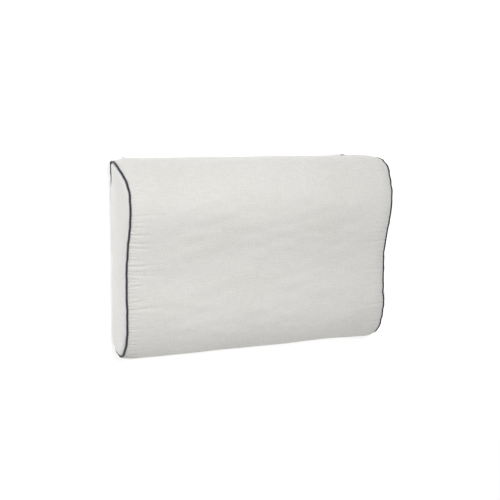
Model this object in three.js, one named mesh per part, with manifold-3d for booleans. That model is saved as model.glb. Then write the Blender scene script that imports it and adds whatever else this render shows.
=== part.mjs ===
// A contoured foam bed pillow with a zip-off cover, modelled lying on its flat base.
// X runs along the pillow's length, +Y points to the high lobe, and +Z is up, out of the sleeping surface.
// All sizes are in millimetres.
//
// The foam core sits in a knitted liner, and the liner in an outer cover. The cover is one panel wrapped
// round the core and two end panels, with a piped seam at each end. A coil zip closes the wrapped panel
// along the rear face, under the high lobe.

import * as THREE from "three";
import { LoftGeometry } from "three/addons/geometries/LoftGeometry.js";
import { mergeVertices } from "three/addons/utils/BufferGeometryUtils.js";
import Module from "manifold-3d";

const wasm = await Module();
wasm.setup();

// ---- Driving dimensions ----------------------------------------------------------------------------

// The cover's outer outline, across the pillow, at the middle of its length.
const DEPTH = 400; // front to rear
const CREST_HEIGHT = 118; // top of the high lobe
const CREST_SETBACK = 91; // from the rear edge
const DIP_HEIGHT = 88.5; // neck hollow
const DIP_SETBACK = 151; // from the front edge
const LOBE_HEIGHT = 91; // top of the low lobe
const LOBE_SETBACK = 82; // from the front edge
const NOSE_HEIGHT = 43; // height at which the front edge is furthest forward
const NOSE_UNDERCUT = 36; // how far the front edge curves back to reach the base
const REAR_FACE_TOP = 40; // the rear face is flat from the base corner up to here

// How full each curve of the outline is: the reach of its handles, as shares of its run and its rise.
const NOSE_UNDER_FULLNESS = 0.53;
const NOSE_TOP_FULLNESS = 0.54;
const LOBE_FULLNESS = 0.4;
const DIP_FULLNESS = 0.47;
const CREST_FULLNESS = 0.3;
const REAR_FULLNESS = 0.64;

// The length, and how the cover draws in to its end seams.
const SEAM_LENGTH = 593; // from one end seam to the other, along the front edge
const SEAM_INSET = 6; // the seams lie this far inside the outline
const CROWN_RUN = 34; // length over which the cover swells from a seam to its full outline
const END_BULGE = 8; // how far each end face domes outwards
const REAR_FLARE = 11; // the seams lie this much further out at the rear edge
const REAR_FLARE_HEIGHT = 66; // the height at which they do so most
const REAR_FLARE_SPREAD = 34; // how far round the outline this reaches
const BASE_FLARE = 1; // and this much further out along the base
const BASE_FLARE_SPREAD = 25; // how far up from the base this reaches

// Cloth and foam, from the outside in.
const COVER_THICKNESS = 1.6;
const ZIP_ROOM = 0.8; // spare depth behind the zip, between the cover and the liner
const LINER_THICKNESS = 0.8;
const LINER_END_ROOM = 1.5; // spare length between the seam allowance and the liner's end
const CORE_GAP = 0.7; // between the liner and the foam

// Piping: a cord wrapped in a folded bias strip, whose two edges run into the seam.
const PIPING_RADIUS = 2;
const PIPING_CLOTH = 0.6;
const PIPING_CORD_GAP = 0.45; // between the cord and its wrapping
const PIPING_FLANGE = 6.5; // from the cord's centre to the strip's raw edges
const PIPING_FLANGE_SLIT = 0.3; // between the strip's two layers

// Zip, along X on the rear face.
const ZIP_END_SETBACK = 46; // from an end seam to the zip
const ZIP_TAPE_WIDTH = 13;
const ZIP_TAPE_THICKNESS = 0.5;
const ZIP_TAPE_TAIL = 12; // how far the tapes run on past the stops
const ZIP_COIL_WIDTH = 2.2;
const ZIP_COIL_THICKNESS = 1.8;
const ZIP_CENTRE_GAP = 1.4; // between the two halves, for the slider's post
const ZIP_EDGE_CLEARANCE = 0.9; // between the slider and the folded edges of the cover
const SEWN_SEAM_GAP = 0.6; // between those edges where the seam is sewn shut
const ZIP_OPENING_TAPER = 6; // length over which the opening closes to the sewn seam
const TOP_STOP_LENGTH = 2.5;
const BOTTOM_STOP_LENGTH = 4;
const STOP_RISE = 0.8; // how far the stops stand above the coils
const STOP_SPACE = 0.5; // left between the slider and the top stops when the zip is shut

// Slider and its pull.
const SLIDER_LENGTH = 9;
const SLIDER_PLATE = 0.9;
const SLIDER_FLANGE = 0.9;
const SLIDER_FLANGE_DROP = 1.4;
const SLIDER_NECK_LENGTH = 1; // from the nose back to the post
const SLIDER_POST_LENGTH = 2.4;
const SLIDER_NOSE_WIDTH = 3.8;
const SLIDER_SHOULDER_WIDTH = 6.8;
const SLIDER_FLANGE_SETBACK = 0.5; // from the tail
const BRIDGE_LENGTH = 7;
const BRIDGE_WIDTH = 1.6;
const BRIDGE_BAR = 0.8;
const BRIDGE_WINDOW_HEIGHT = 2;
const PULL_LENGTH = 27; // from the pivot to the tip
const PULL_WIDTH = 6.6;
const PULL_TIP_WIDTH = 4.6;
const PULL_THICKNESS = 1;
const PULL_EYE_CLEARANCE = 0.8; // round the bridge
const PULL_HOLE_RADIUS = 1.2;

// Care label, sewn into the closed seam beside the zip.
const LABEL_WIDTH = 26;
const LABEL_DROP = 20;
const LABEL_THICKNESS = 0.6;
const LABEL_SETOFF = 1; // from the end of the zip

const CLEARANCE = 0.3; // between pieces that touch

// ---- Values worked out from them -------------------------------------------------------------------

const REAR_Y = DEPTH / 2;
const SEAM_X = SEAM_LENGTH / 2;
const REAR_CORNER_RADIUS = SEAM_INSET + PIPING_FLANGE; // the seam allowance still turns this corner
const LOBE_Y = LOBE_SETBACK - DEPTH / 2;
const DIP_Y = DIP_SETBACK - DEPTH / 2;
const CREST_Y = REAR_Y - CREST_SETBACK;
const PIPING_CORD_RADIUS = PIPING_RADIUS - PIPING_CLOTH - PIPING_CORD_GAP;
const LINER_INSET = COVER_THICKNESS + ZIP_TAPE_THICKNESS + SLIDER_PLATE + 3 * CLEARANCE + ZIP_ROOM;
const LINER_END_SETBACK = PIPING_FLANGE + LINER_END_ROOM;
const CORE_INSET = LINER_INSET + LINER_THICKNESS + CORE_GAP;

const ZIP_HEIGHT = (REAR_CORNER_RADIUS + REAR_FACE_TOP) / 2; // the middle of the flat rear face
const ZIP_X = SEAM_X - ZIP_END_SETBACK; // where the opening and the tapes end
const ZIP_STOP_X = ZIP_X - ZIP_OPENING_TAPER - ZIP_TAPE_TAIL;
const SLIDER_WIDTH = ZIP_CENTRE_GAP + 2 * (ZIP_COIL_WIDTH + CLEARANCE + SLIDER_FLANGE);
const ZIP_OPENING = SLIDER_WIDTH + 2 * ZIP_EDGE_CLEARANCE; // between the folded edges of the cover

// Levels of the zip's layers, measured outwards from the cover's outer face.
const TAPE_TOP = -COVER_THICKNESS - CLEARANCE;
const TAPE_BOTTOM = TAPE_TOP - ZIP_TAPE_THICKNESS;
const COIL_BOTTOM = TAPE_TOP + CLEARANCE;
const COIL_TOP = COIL_BOTTOM + ZIP_COIL_THICKNESS;
const TOP_PLATE_BOTTOM = COIL_TOP + CLEARANCE;
const TOP_PLATE_TOP = TOP_PLATE_BOTTOM + SLIDER_PLATE;
const BOTTOM_PLATE_TOP = TAPE_BOTTOM - CLEARANCE;
const BRIDGE_TOP = TOP_PLATE_TOP + BRIDGE_WINDOW_HEIGHT + BRIDGE_BAR;
const PIVOT_LEVEL = TOP_PLATE_TOP + BRIDGE_WINDOW_HEIGHT / 2;
const POST_NOSE = SLIDER_LENGTH / 2 - SLIDER_NECK_LENGTH; // the post's nose, from the slider's middle
const SLIDER_X = ZIP_STOP_X - TOP_STOP_LENGTH - STOP_SPACE - SLIDER_LENGTH / 2;

// ---- Outline ---------------------------------------------------------------------------------------

// The outline as a path in the (Y, Z) plane. It starts at the zip, goes down the rear face, forward along
// the base, up round the front edge, back over the two lobes, and ends at the zip again.
function outlinePath() {
  const path = new THREE.Path();
  path.moveTo(REAR_Y, ZIP_HEIGHT);
  path.lineTo(REAR_Y, REAR_CORNER_RADIUS);
  path.absarc(REAR_Y - REAR_CORNER_RADIUS, REAR_CORNER_RADIUS, REAR_CORNER_RADIUS, 0, -Math.PI / 2, true);
  path.lineTo(-REAR_Y + NOSE_UNDERCUT, 0);
  path.bezierCurveTo(
    -REAR_Y + NOSE_UNDERCUT * (1 - NOSE_UNDER_FULLNESS), 0,
    -REAR_Y, NOSE_HEIGHT * (1 - NOSE_UNDER_FULLNESS),
    -REAR_Y, NOSE_HEIGHT,
  );
  const noseRise = LOBE_HEIGHT - NOSE_HEIGHT;
  const noseRun = LOBE_Y + REAR_Y;
  path.bezierCurveTo(
    -REAR_Y, NOSE_HEIGHT + noseRise * NOSE_TOP_FULLNESS,
    LOBE_Y - noseRun * NOSE_TOP_FULLNESS, LOBE_HEIGHT,
    LOBE_Y, LOBE_HEIGHT,
  );
  const lobeToDip = DIP_Y - LOBE_Y;
  path.bezierCurveTo(
    LOBE_Y + lobeToDip * LOBE_FULLNESS, LOBE_HEIGHT,
    DIP_Y - lobeToDip * LOBE_FULLNESS, DIP_HEIGHT,
    DIP_Y, DIP_HEIGHT,
  );
  const dipToCrest = CREST_Y - DIP_Y;
  path.bezierCurveTo(
    DIP_Y + dipToCrest * DIP_FULLNESS, DIP_HEIGHT,
    CREST_Y - dipToCrest * CREST_FULLNESS, CREST_HEIGHT,
    CREST_Y, CREST_HEIGHT,
  );
  const rearRise = CREST_HEIGHT - REAR_FACE_TOP;
  const rearRun = REAR_Y - CREST_Y;
  path.bezierCurveTo(
    CREST_Y + rearRun * REAR_FULLNESS, CREST_HEIGHT,
    REAR_Y, CREST_HEIGHT - rearRise * REAR_FULLNESS,
    REAR_Y, REAR_FACE_TOP,
  );
  path.lineTo(REAR_Y, ZIP_HEIGHT);
  return path;
}

const OUTLINE_STEPS = [2, 3, 6, 6, 7, 3, 9, 10, 2]; // one for each curve of the path

// The outline's samples: a point and its outward normal each, from one side of the zip round to the other.
function sampleOutline() {
  const samples = [];
  const take = (curve, u) => {
    const tangent = curve.getTangentAt(u);
    samples.push({ point: curve.getPointAt(u), normal: new THREE.Vector2(-tangent.y, tangent.x) });
  };
  const curves = outlinePath().curves;
  curves.forEach((curve, i) => {
    for (let step = 0; step < OUTLINE_STEPS[i]; step++) take(curve, step / OUTLINE_STEPS[i]);
  });
  take(curves.at(-1), 1);
  return samples;
}

const OUTLINE = sampleOutline();
const CLOSED_OUTLINE = OUTLINE.slice(0, -1); // its first and last samples are the same point
const END_CENTRE = new THREE.Vector2(0, NOSE_HEIGHT);

const insetPoint = ({ point, normal }, inset) => point.clone().addScaledVector(normal, -inset);

// How far the cover lies inside its outline at a place along the length.
function crownInset(x) {
  const t = THREE.MathUtils.clamp((SEAM_X - Math.abs(x)) / CROWN_RUN, 0, 1);
  return SEAM_INSET * (1 - t) ** 2;
}

// How far out a place near an end is carried by the flare of its seam.
function flare({ point }, x) {
  const away = Math.hypot(point.x - REAR_Y, point.y - REAR_FLARE_HEIGHT);
  const rear = REAR_FLARE * Math.exp(-0.5 * (away / REAR_FLARE_SPREAD) ** 2);
  const base = BASE_FLARE * Math.exp(-0.5 * (point.y / BASE_FLARE_SPREAD) ** 2);
  const t = Math.max(Math.abs(x) - SEAM_X + CROWN_RUN, 0) / CROWN_RUN;
  return Math.sign(x) * (rear + base) * t * t;
}

// A point of the pillow at x, lying inset from the cover's outer face there.
function surfacePoint(sample, x, inset) {
  const p = insetPoint(sample, crownInset(x) + inset);
  return new THREE.Vector3(x + flare(sample, x), p.x, p.y);
}

const ringAt = (x, inset) => CLOSED_OUTLINE.map((sample) => surfacePoint(sample, x, inset));

// Rings that dome outwards from an end face, from a point at its middle out to its edge. They can be
// moved in towards the pillow's middle by a depth.
const DOME_SCALES = [0, 0.3, 0.6, 0.85, 1];
function domeRings(side, x, inset, depth = 0) {
  const edge = ringAt(side * x, inset);
  return DOME_SCALES.map((scale) =>
    edge.map((p) => {
      const bulge = END_BULGE * (1 - scale * scale);
      return new THREE.Vector3(
        side * (x + bulge - depth) + (p.x - side * x) * scale,
        END_CENTRE.x + (p.y - END_CENTRE.x) * scale,
        END_CENTRE.y + (p.z - END_CENTRE.y) * scale,
      );
    }),
  );
}

// Places along the length, from the right-hand end to the left, close together where the cover swells.
function stationsBetween(x) {
  const steps = [0, 0.12, 0.3, 0.55, 1].map((t) => x - t * (x - SEAM_X + CROWN_RUN));
  return [...steps, ...steps.map((s) => -s).reverse()];
}

// ---- Making meshes ---------------------------------------------------------------------------------

const looks = {
  cover: { color: 0xdedcd6, roughness: 0.9, metalness: 0 },
  endPanel: { color: 0xe8e7e4, roughness: 0.85, metalness: 0 },
  piping: { color: 0x2f3140, roughness: 0.7, metalness: 0 },
  pipingCord: { color: 0xe6e2d8, roughness: 0.9, metalness: 0 },
  liner: { color: 0xf4f3f0, roughness: 0.9, metalness: 0 },
  foam: { color: 0xf3ead2, roughness: 0.95, metalness: 0 },
  zipTape: { color: 0xe4e3df, roughness: 0.85, metalness: 0 },
  zipCoil: { color: 0xeceae6, roughness: 0.45, metalness: 0 },
  zipMetal: { color: 0xb9bbbf, roughness: 0.35, metalness: 1 },
  label: { color: 0xf2f2f0, roughness: 0.5, metalness: 0 },
};

const pillow = new THREE.Group();

function add(name, geometry, look) {
  const mesh = new THREE.Mesh(geometry, new THREE.MeshStandardMaterial(look));
  mesh.name = name;
  pillow.add(mesh);
}

// A box from one corner to the opposite one.
const box = (x0, x1, y0, y1, z0, z1) =>
  new THREE.BoxGeometry(x1 - x0, y1 - y0, z1 - z0).translate((x0 + x1) / 2, (y0 + y1) / 2, (z0 + z1) / 2);

function solidOf(geometry) {
  const bare = geometry.index ? geometry.toNonIndexed() : geometry.clone();
  bare.deleteAttribute("normal");
  bare.deleteAttribute("uv");
  const merged = mergeVertices(bare, 1e-3);
  return new wasm.Manifold(
    new wasm.Mesh({
      numProp: 3,
      vertProperties: merged.getAttribute("position").array,
      triVerts: new Uint32Array(merged.index.array),
    }),
  );
}

function geometryOf(solid) {
  const mesh = solid.getMesh();
  return new THREE.BufferGeometry()
    .setAttribute("position", new THREE.BufferAttribute(mesh.vertProperties, 3))
    .setIndex(new THREE.BufferAttribute(mesh.triVerts, 1));
}

const join = (...geometries) => geometryOf(geometries.map(solidOf).reduce((a, b) => a.add(b)));
const cut = (geometry, ...tools) =>
  geometryOf(tools.map(solidOf).reduce((a, b) => a.subtract(b), solidOf(geometry)));

// ---- Foam core and liner ---------------------------------------------------------------------------

function foamCore() {
  const x = SEAM_X - LINER_END_SETBACK - LINER_THICKNESS - CORE_GAP;
  const body = stationsBetween(x).slice(1, -1).map((station) => ringAt(station, CORE_INSET));
  const rings = [...domeRings(1, x, CORE_INSET), ...body, ...domeRings(-1, x, CORE_INSET).reverse()];
  add("foam_core", new LoftGeometry(rings), looks.foam);
}

function linerWrap() {
  const stations = stationsBetween(SEAM_X - LINER_END_SETBACK);
  const outside = stations.map((x) => ringAt(x, LINER_INSET));
  const inside = stations.map((x) => ringAt(x, LINER_INSET + LINER_THICKNESS)).reverse();
  add("liner_wrap", new LoftGeometry([...outside, ...inside, outside[0]]), looks.liner);
}

// A thin domed plate that closes an end, from its outer face to its inner face. Its edge is mitred.
function domedPlate(side, x, thickness, inset) {
  const inside = domeRings(side, x, inset + thickness, thickness).reverse();
  const rings = [...domeRings(side, x, inset), ...inside];
  if (side < 0) rings.reverse();
  return new LoftGeometry(rings);
}

function linerEnd(name, side) {
  const inset = LINER_INSET + LINER_THICKNESS + CLEARANCE;
  const x = SEAM_X - LINER_END_SETBACK;
  add(name, domedPlate(side, x, LINER_THICKNESS, inset), looks.liner);
}

// ---- Outer cover -----------------------------------------------------------------------------------

// Half the opening between the cover's folded edges: wide along the zip, and sewn nearly shut beyond it.
function halfOpening(x) {
  const t = THREE.MathUtils.clamp((ZIP_X - Math.abs(x)) / ZIP_OPENING_TAPER, 0, 1);
  return (SEWN_SEAM_GAP + t * (ZIP_OPENING - SEWN_SEAM_GAP)) / 2;
}

// The cover's cross-section at x: out along one face from one folded edge to the other, and back along
// the other face.
function coverSection(x, outerInset, innerInset) {
  const face = (inset) =>
    OUTLINE.map((sample, i) => {
      const p = surfacePoint(sample, x, inset);
      if (i === 0) p.z -= halfOpening(x);
      if (i === OUTLINE.length - 1) p.z += halfOpening(x);
      return p;
    });
  return [...face(outerInset), ...face(innerInset).reverse()];
}

// How far the wrapped panel's raw edge stays from a seam: clear of the cord, and its inner face clear of
// the flange below.
function coverEdgeSetback() {
  const besideCord = PIPING_RADIUS + CLEARANCE;
  const rise = SEAM_INSET - crownInset(SEAM_X - besideCord);
  const flangeRoom = Math.SQRT2 * (PIPING_FLANGE_SLIT / 2 + PIPING_CLOTH + CLEARANCE);
  return Math.max(besideCord, COVER_THICKNESS - rise + flangeRoom);
}

function coverWrap() {
  const edge = SEAM_X - coverEdgeSetback();
  const half = [...stationsBetween(edge).filter((x) => x > 0), ZIP_X, ZIP_X - ZIP_OPENING_TAPER];
  const stations = [...half, ...half.map((x) => -x).reverse()];
  // At its two raw edges the panel's faces meet halfway through the cloth.
  const rawEdge = (x) => coverSection(x, COVER_THICKNESS / 2, COVER_THICKNESS / 2);
  const sections = stations.map((x) => coverSection(x, 0, COVER_THICKNESS));
  add("cover_wrap", new LoftGeometry([rawEdge(edge), ...sections, rawEdge(-edge)]), looks.cover);
}

function endPanel(name, side) {
  const inset = PIPING_RADIUS + CLEARANCE;
  add(name, domedPlate(side, SEAM_X, COVER_THICKNESS, inset), looks.endPanel);
}

// Sweeps a section round an end seam. Its points are (out of the end face, out of the outline).
function sweepRoundSeam(section, side) {
  const rings = CLOSED_OUTLINE.map((sample) =>
    section.map((s) => {
      const p = insetPoint(sample, SEAM_INSET - s.y);
      return new THREE.Vector3(side * (SEAM_X + s.x) + flare(sample, side * SEAM_X), p.x, p.y);
    }),
  );
  rings.push(rings[0]);
  if (side > 0) rings.reverse();
  return new LoftGeometry(rings);
}

// An arc of the piping's section about its cord, from one layer of the flange round to the other.
function pipingArc(radius, halfSlit, steps) {
  const inward = (-3 * Math.PI) / 4;
  const half = Math.asin(halfSlit / radius);
  return Array.from({ length: steps + 1 }, (_, i) => {
    const angle = inward + half + ((2 * Math.PI - 2 * half) * i) / steps;
    return new THREE.Vector2(radius * Math.cos(angle), radius * Math.sin(angle));
  });
}

// A point of the flange, a distance along it from the cord's centre and to one side of its middle.
const flangePoint = (along, across) =>
  new THREE.Vector2(-along + across, -along - across).multiplyScalar(Math.SQRT1_2);

function piping(name, side) {
  const innerHalf = PIPING_FLANGE_SLIT / 2;
  const outerHalf = innerHalf + PIPING_CLOTH;
  const outside = pipingArc(PIPING_RADIUS, outerHalf, 8);
  const inside = pipingArc(PIPING_RADIUS - PIPING_CLOTH, innerHalf, 7).reverse();
  const section = [
    flangePoint(PIPING_FLANGE, outerHalf),
    ...outside,
    flangePoint(PIPING_FLANGE, -outerHalf),
    flangePoint(PIPING_FLANGE, -innerHalf),
    ...inside,
    flangePoint(PIPING_FLANGE, innerHalf),
  ];
  add(`${name}_cover`, sweepRoundSeam(section, side), looks.piping);
  const cord = new THREE.EllipseCurve(0, 0, PIPING_CORD_RADIUS, PIPING_CORD_RADIUS).getPoints(6).slice(0, -1);
  add(`${name}_cord`, sweepRoundSeam(cord, side), looks.pipingCord);
}

// ---- Zip -------------------------------------------------------------------------------------------

// Adds a piece of the zip, given in the zip's own frame: X along it, Y the level above the cover's rear
// face, and Z the height above its centre line.
const addToZip = (name, geometry, look) => add(name, geometry.translate(0, REAR_Y, ZIP_HEIGHT), look);

// A bar along the zip on one half of it: side is 1 for the upper half and -1 for the lower.
function zipBar(x0, x1, y0, y1, width, side) {
  const z0 = (side * ZIP_CENTRE_GAP) / 2;
  const z1 = side * (ZIP_CENTRE_GAP / 2 + width);
  return box(x0, x1, y0, y1, Math.min(z0, z1), Math.max(z0, z1));
}

function zipHalf(name, side) {
  const tape = ZIP_X - ZIP_OPENING_TAPER;
  const stopTop = COIL_TOP + STOP_RISE;
  const stopStart = ZIP_STOP_X - TOP_STOP_LENGTH;
  const coilStart = -ZIP_STOP_X + BOTTOM_STOP_LENGTH + CLEARANCE;
  const coilEnd = stopStart - CLEARANCE;
  const tapeBar = zipBar(-tape, tape, TAPE_BOTTOM, TAPE_TOP, ZIP_TAPE_WIDTH, side);
  const coilBar = zipBar(coilStart, coilEnd, COIL_BOTTOM, COIL_TOP, ZIP_COIL_WIDTH, side);
  const stop = zipBar(stopStart, ZIP_STOP_X, COIL_BOTTOM, stopTop, ZIP_COIL_WIDTH, side);
  addToZip(`zip_tape_${name}`, tapeBar, looks.zipTape);
  addToZip(`zip_coil_${name}`, coilBar, looks.zipCoil);
  addToZip(`zip_top_stop_${name}`, stop, looks.zipMetal);
}

function zipBottomStop() {
  const half = ZIP_CENTRE_GAP / 2 + ZIP_COIL_WIDTH;
  const end = -ZIP_STOP_X + BOTTOM_STOP_LENGTH;
  const stop = box(-ZIP_STOP_X, end, COIL_BOTTOM, COIL_TOP + STOP_RISE, -half, half);
  addToZip("zip_bottom_stop", stop, looks.zipMetal);
}

// A plate of the slider, square at the tail and narrowing to the nose, where the coils part.
function sliderPlate(bottom, top) {
  const side = [
    new THREE.Vector2(-SLIDER_LENGTH / 2, SLIDER_WIDTH / 2),
    new THREE.Vector2(POST_NOSE - SLIDER_POST_LENGTH, SLIDER_WIDTH / 2),
    new THREE.Vector2(POST_NOSE, SLIDER_SHOULDER_WIDTH / 2),
    new THREE.Vector2(SLIDER_LENGTH / 2, SLIDER_NOSE_WIDTH / 2),
  ];
  const otherSide = side.map((p) => new THREE.Vector2(p.x, -p.y)).reverse();
  const outline = new THREE.Shape([...side, ...otherSide]);
  const depth = top - bottom;
  const geometry = new THREE.ExtrudeGeometry(outline, { depth, bevelEnabled: false });
  return geometry.rotateX(-Math.PI / 2).translate(0, bottom, 0);
}

// The bridge over the top plate: an arch along the zip that the pull's bar passes under.
function sliderBridge() {
  const half = BRIDGE_LENGTH / 2;
  const arch = new THREE.Shape();
  arch.moveTo(-half, TOP_PLATE_TOP - SLIDER_PLATE / 2);
  arch.lineTo(half, TOP_PLATE_TOP - SLIDER_PLATE / 2);
  arch.lineTo(half, BRIDGE_TOP - BRIDGE_BAR);
  arch.lineTo(half - BRIDGE_BAR, BRIDGE_TOP);
  arch.lineTo(-half + BRIDGE_BAR, BRIDGE_TOP);
  arch.lineTo(-half, BRIDGE_TOP - BRIDGE_BAR);
  const window = half - BRIDGE_BAR;
  const hole = new THREE.Path();
  hole.moveTo(-window, TOP_PLATE_TOP);
  hole.lineTo(-window, TOP_PLATE_TOP + BRIDGE_WINDOW_HEIGHT);
  hole.lineTo(window, TOP_PLATE_TOP + BRIDGE_WINDOW_HEIGHT);
  hole.lineTo(window, TOP_PLATE_TOP);
  arch.holes.push(hole);
  const geometry = new THREE.ExtrudeGeometry(arch, { depth: BRIDGE_WIDTH, bevelEnabled: false });
  return geometry.translate(0, 0, -BRIDGE_WIDTH / 2);
}

function slider() {
  const postHalf = ZIP_CENTRE_GAP / 2 - CLEARANCE;
  const post = box(
    POST_NOSE - SLIDER_POST_LENGTH, POST_NOSE,
    BOTTOM_PLATE_TOP - SLIDER_PLATE / 2, TOP_PLATE_BOTTOM + SLIDER_PLATE / 2,
    -postHalf, postHalf,
  );
  const flangeInner = ZIP_CENTRE_GAP / 2 + ZIP_COIL_WIDTH + CLEARANCE;
  const flanges = [-1, 1].map((side) => {
    const z = [side * flangeInner, side * (flangeInner + SLIDER_FLANGE)].sort((a, b) => a - b);
    return box(
      SLIDER_FLANGE_SETBACK - SLIDER_LENGTH / 2, POST_NOSE - SLIDER_POST_LENGTH,
      TOP_PLATE_BOTTOM - SLIDER_FLANGE_DROP, TOP_PLATE_BOTTOM + SLIDER_PLATE / 2,
      z[0], z[1],
    );
  });
  const body = join(
    sliderPlate(TOP_PLATE_BOTTOM, TOP_PLATE_TOP),
    sliderPlate(BOTTOM_PLATE_TOP - SLIDER_PLATE, BOTTOM_PLATE_TOP),
    sliderBridge(),
    post,
    ...flanges,
  );
  addToZip("zip_slider", body.translate(SLIDER_X, 0, 0), looks.zipMetal);
}

// The pull lies flat along the zip at rest, pointing away from the closed end.
function pull() {
  const barHalf = PULL_THICKNESS / 2;
  const half = PULL_WIDTH / 2;
  const tipHalf = PULL_TIP_WIDTH / 2;
  const plate = new THREE.Shape();
  plate.moveTo(barHalf, -half);
  plate.lineTo(barHalf, half);
  plate.lineTo(-PULL_LENGTH + tipHalf, tipHalf);
  plate.absarc(-PULL_LENGTH + tipHalf, 0, tipHalf, Math.PI / 2, (3 * Math.PI) / 2, false);
  const eyeHalf = BRIDGE_WIDTH / 2 + PULL_EYE_CLEARANCE;
  const eyeEnd = -Math.hypot(BRIDGE_LENGTH / 2, BRIDGE_TOP - PIVOT_LEVEL) - PULL_EYE_CLEARANCE;
  const eye = new THREE.Path();
  eye.moveTo(-barHalf, -eyeHalf);
  eye.lineTo(eyeEnd, -eyeHalf);
  eye.lineTo(eyeEnd, eyeHalf);
  eye.lineTo(-barHalf, eyeHalf);
  plate.holes.push(eye);
  const settings = { depth: PULL_THICKNESS, bevelEnabled: false, curveSegments: 8 };
  const solid = new THREE.ExtrudeGeometry(plate, settings);
  const hole = new THREE.CylinderGeometry(PULL_HOLE_RADIUS, PULL_HOLE_RADIUS, 3 * PULL_THICKNESS, 12)
    .rotateX(Math.PI / 2)
    .translate(-PULL_LENGTH + tipHalf, 0, PULL_THICKNESS / 2);
  const drilled = cut(solid, hole)
    .rotateX(-Math.PI / 2)
    .translate(SLIDER_X, PIVOT_LEVEL - PULL_THICKNESS / 2, 0);
  addToZip("zip_pull", drilled, looks.zipMetal);
}

// ---- Care label ------------------------------------------------------------------------------------

function careLabel() {
  const near = -ZIP_X - LABEL_SETOFF;
  const label = box(
    near - LABEL_WIDTH, near,
    CLEARANCE, CLEARANCE + LABEL_THICKNESS,
    -LABEL_DROP, 0,
  );
  addToZip("care_label", label, looks.label);
}

foamCore();
linerWrap();
linerEnd("liner_left_end", -1);
linerEnd("liner_right_end", 1);
coverWrap();
endPanel("left_end_panel", -1);
endPanel("right_end_panel", 1);
piping("left_piping", -1);
piping("right_piping", 1);
zipHalf("upper", 1);
zipHalf("lower", -1);
zipBottomStop();
slider();
pull();
careLabel();

// The origin is under the middle of everything, so the slider's stand-off at the rear is shared.
pillow.position.y = -BRIDGE_TOP / 2;

export default pillow;
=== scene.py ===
"""A contoured foam bed pillow in its knitted cover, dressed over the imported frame.

X runs along the pillow's length, +Y points to the high lobe and +Z is up. All sizes are in metres.
A place on the cloth is given by `run`, the way round the outline from the zip, and by x.
"""

import math

import bmesh
import bpy
import numpy as np
from mathutils import Matrix, Vector


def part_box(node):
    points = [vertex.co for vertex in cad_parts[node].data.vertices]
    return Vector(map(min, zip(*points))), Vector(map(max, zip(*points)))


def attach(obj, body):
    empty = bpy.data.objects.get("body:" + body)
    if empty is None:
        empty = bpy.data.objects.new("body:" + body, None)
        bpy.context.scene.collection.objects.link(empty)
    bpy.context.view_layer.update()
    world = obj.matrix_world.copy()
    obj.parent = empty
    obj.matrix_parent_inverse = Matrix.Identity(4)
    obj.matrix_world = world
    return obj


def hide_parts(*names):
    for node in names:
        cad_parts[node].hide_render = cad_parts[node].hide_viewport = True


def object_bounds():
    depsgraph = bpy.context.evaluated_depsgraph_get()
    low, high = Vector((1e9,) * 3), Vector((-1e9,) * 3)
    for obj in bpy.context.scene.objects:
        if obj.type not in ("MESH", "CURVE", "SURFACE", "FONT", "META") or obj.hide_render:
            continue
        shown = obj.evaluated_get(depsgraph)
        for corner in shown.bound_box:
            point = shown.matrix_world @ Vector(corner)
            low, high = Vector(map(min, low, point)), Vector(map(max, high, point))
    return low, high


bl_info = {
    "name": "Contour pillow",
    "version": (1, 0, 0),
    "blender": (4, 5, 0),
    "location": "View3D > Sidebar > Pillow",
    "description": "Builds a contoured foam pillow in a zip-off knitted cover with piped end seams",
    "category": "Object",
}

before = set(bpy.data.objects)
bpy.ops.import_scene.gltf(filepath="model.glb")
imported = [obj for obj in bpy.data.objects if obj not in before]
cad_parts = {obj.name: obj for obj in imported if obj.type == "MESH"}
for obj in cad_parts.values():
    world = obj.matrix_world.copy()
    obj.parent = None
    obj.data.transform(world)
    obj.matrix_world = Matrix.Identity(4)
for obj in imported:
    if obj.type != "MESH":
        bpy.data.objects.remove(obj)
CAD_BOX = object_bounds()
MM = 0.001


# ---- What the frame gives --------------------------------------------------------------------------


def node_points(node):
    """A CAD node's separate points, as an array."""
    co = np.array([v.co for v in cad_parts[node].data.vertices], float)
    return np.unique(np.round(co, 6), axis=0)


def box_of(node):
    """A CAD node's lowest and highest corners, as arrays."""
    lo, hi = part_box(node)
    return np.array(lo), np.array(hi)


ZIP_LOW, ZIP_HIGH = box_of("zip_slider")
ZIP_LEVEL = (ZIP_LOW[2] + ZIP_HIGH[2]) / 2
WALL_PAIR = 1.75 * MM  # the cover's two faces are nearer each other than this
SECTION_SLACK = 0.1 * MM  # points this near the middle section belong to it
CORD_STEP = 1.5 * MM  # sections of the seam's cord are further apart than this
OUTLINE_STEP = 0.25 * MM
OUTLINE_SMOOTHING = 2.5 * MM


def outline_knots():
    """The cover's outline half way along: (Y, Z) points from the zip, down and round to it."""
    points = node_points("cover_wrap")
    middle = points[np.abs(points[:, 0]).argmin(), 0]
    ring = points[np.abs(points[:, 0] - middle) < SECTION_SLACK][:, 1:]
    centre = (ring.min(0) + ring.max(0)) / 2
    reach = np.linalg.norm(ring - centre, axis=1)
    gap = np.linalg.norm(ring[:, None] - ring[None], axis=2)
    inner = ((gap < WALL_PAIR) & (reach[None] > reach[:, None] + 0.01 * MM)).any(1)
    outer = ring[~inner]
    zip_point = np.array([outer[:, 0].max(), ZIP_LEVEL])
    angle = np.arctan2(outer[:, 1] - centre[1], outer[:, 0] - centre[0])
    start = math.atan2(zip_point[1] - centre[1], zip_point[0] - centre[0])
    order = np.argsort((start - angle) % (2 * math.pi))
    return np.vstack([zip_point, outer[order], zip_point])


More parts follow.
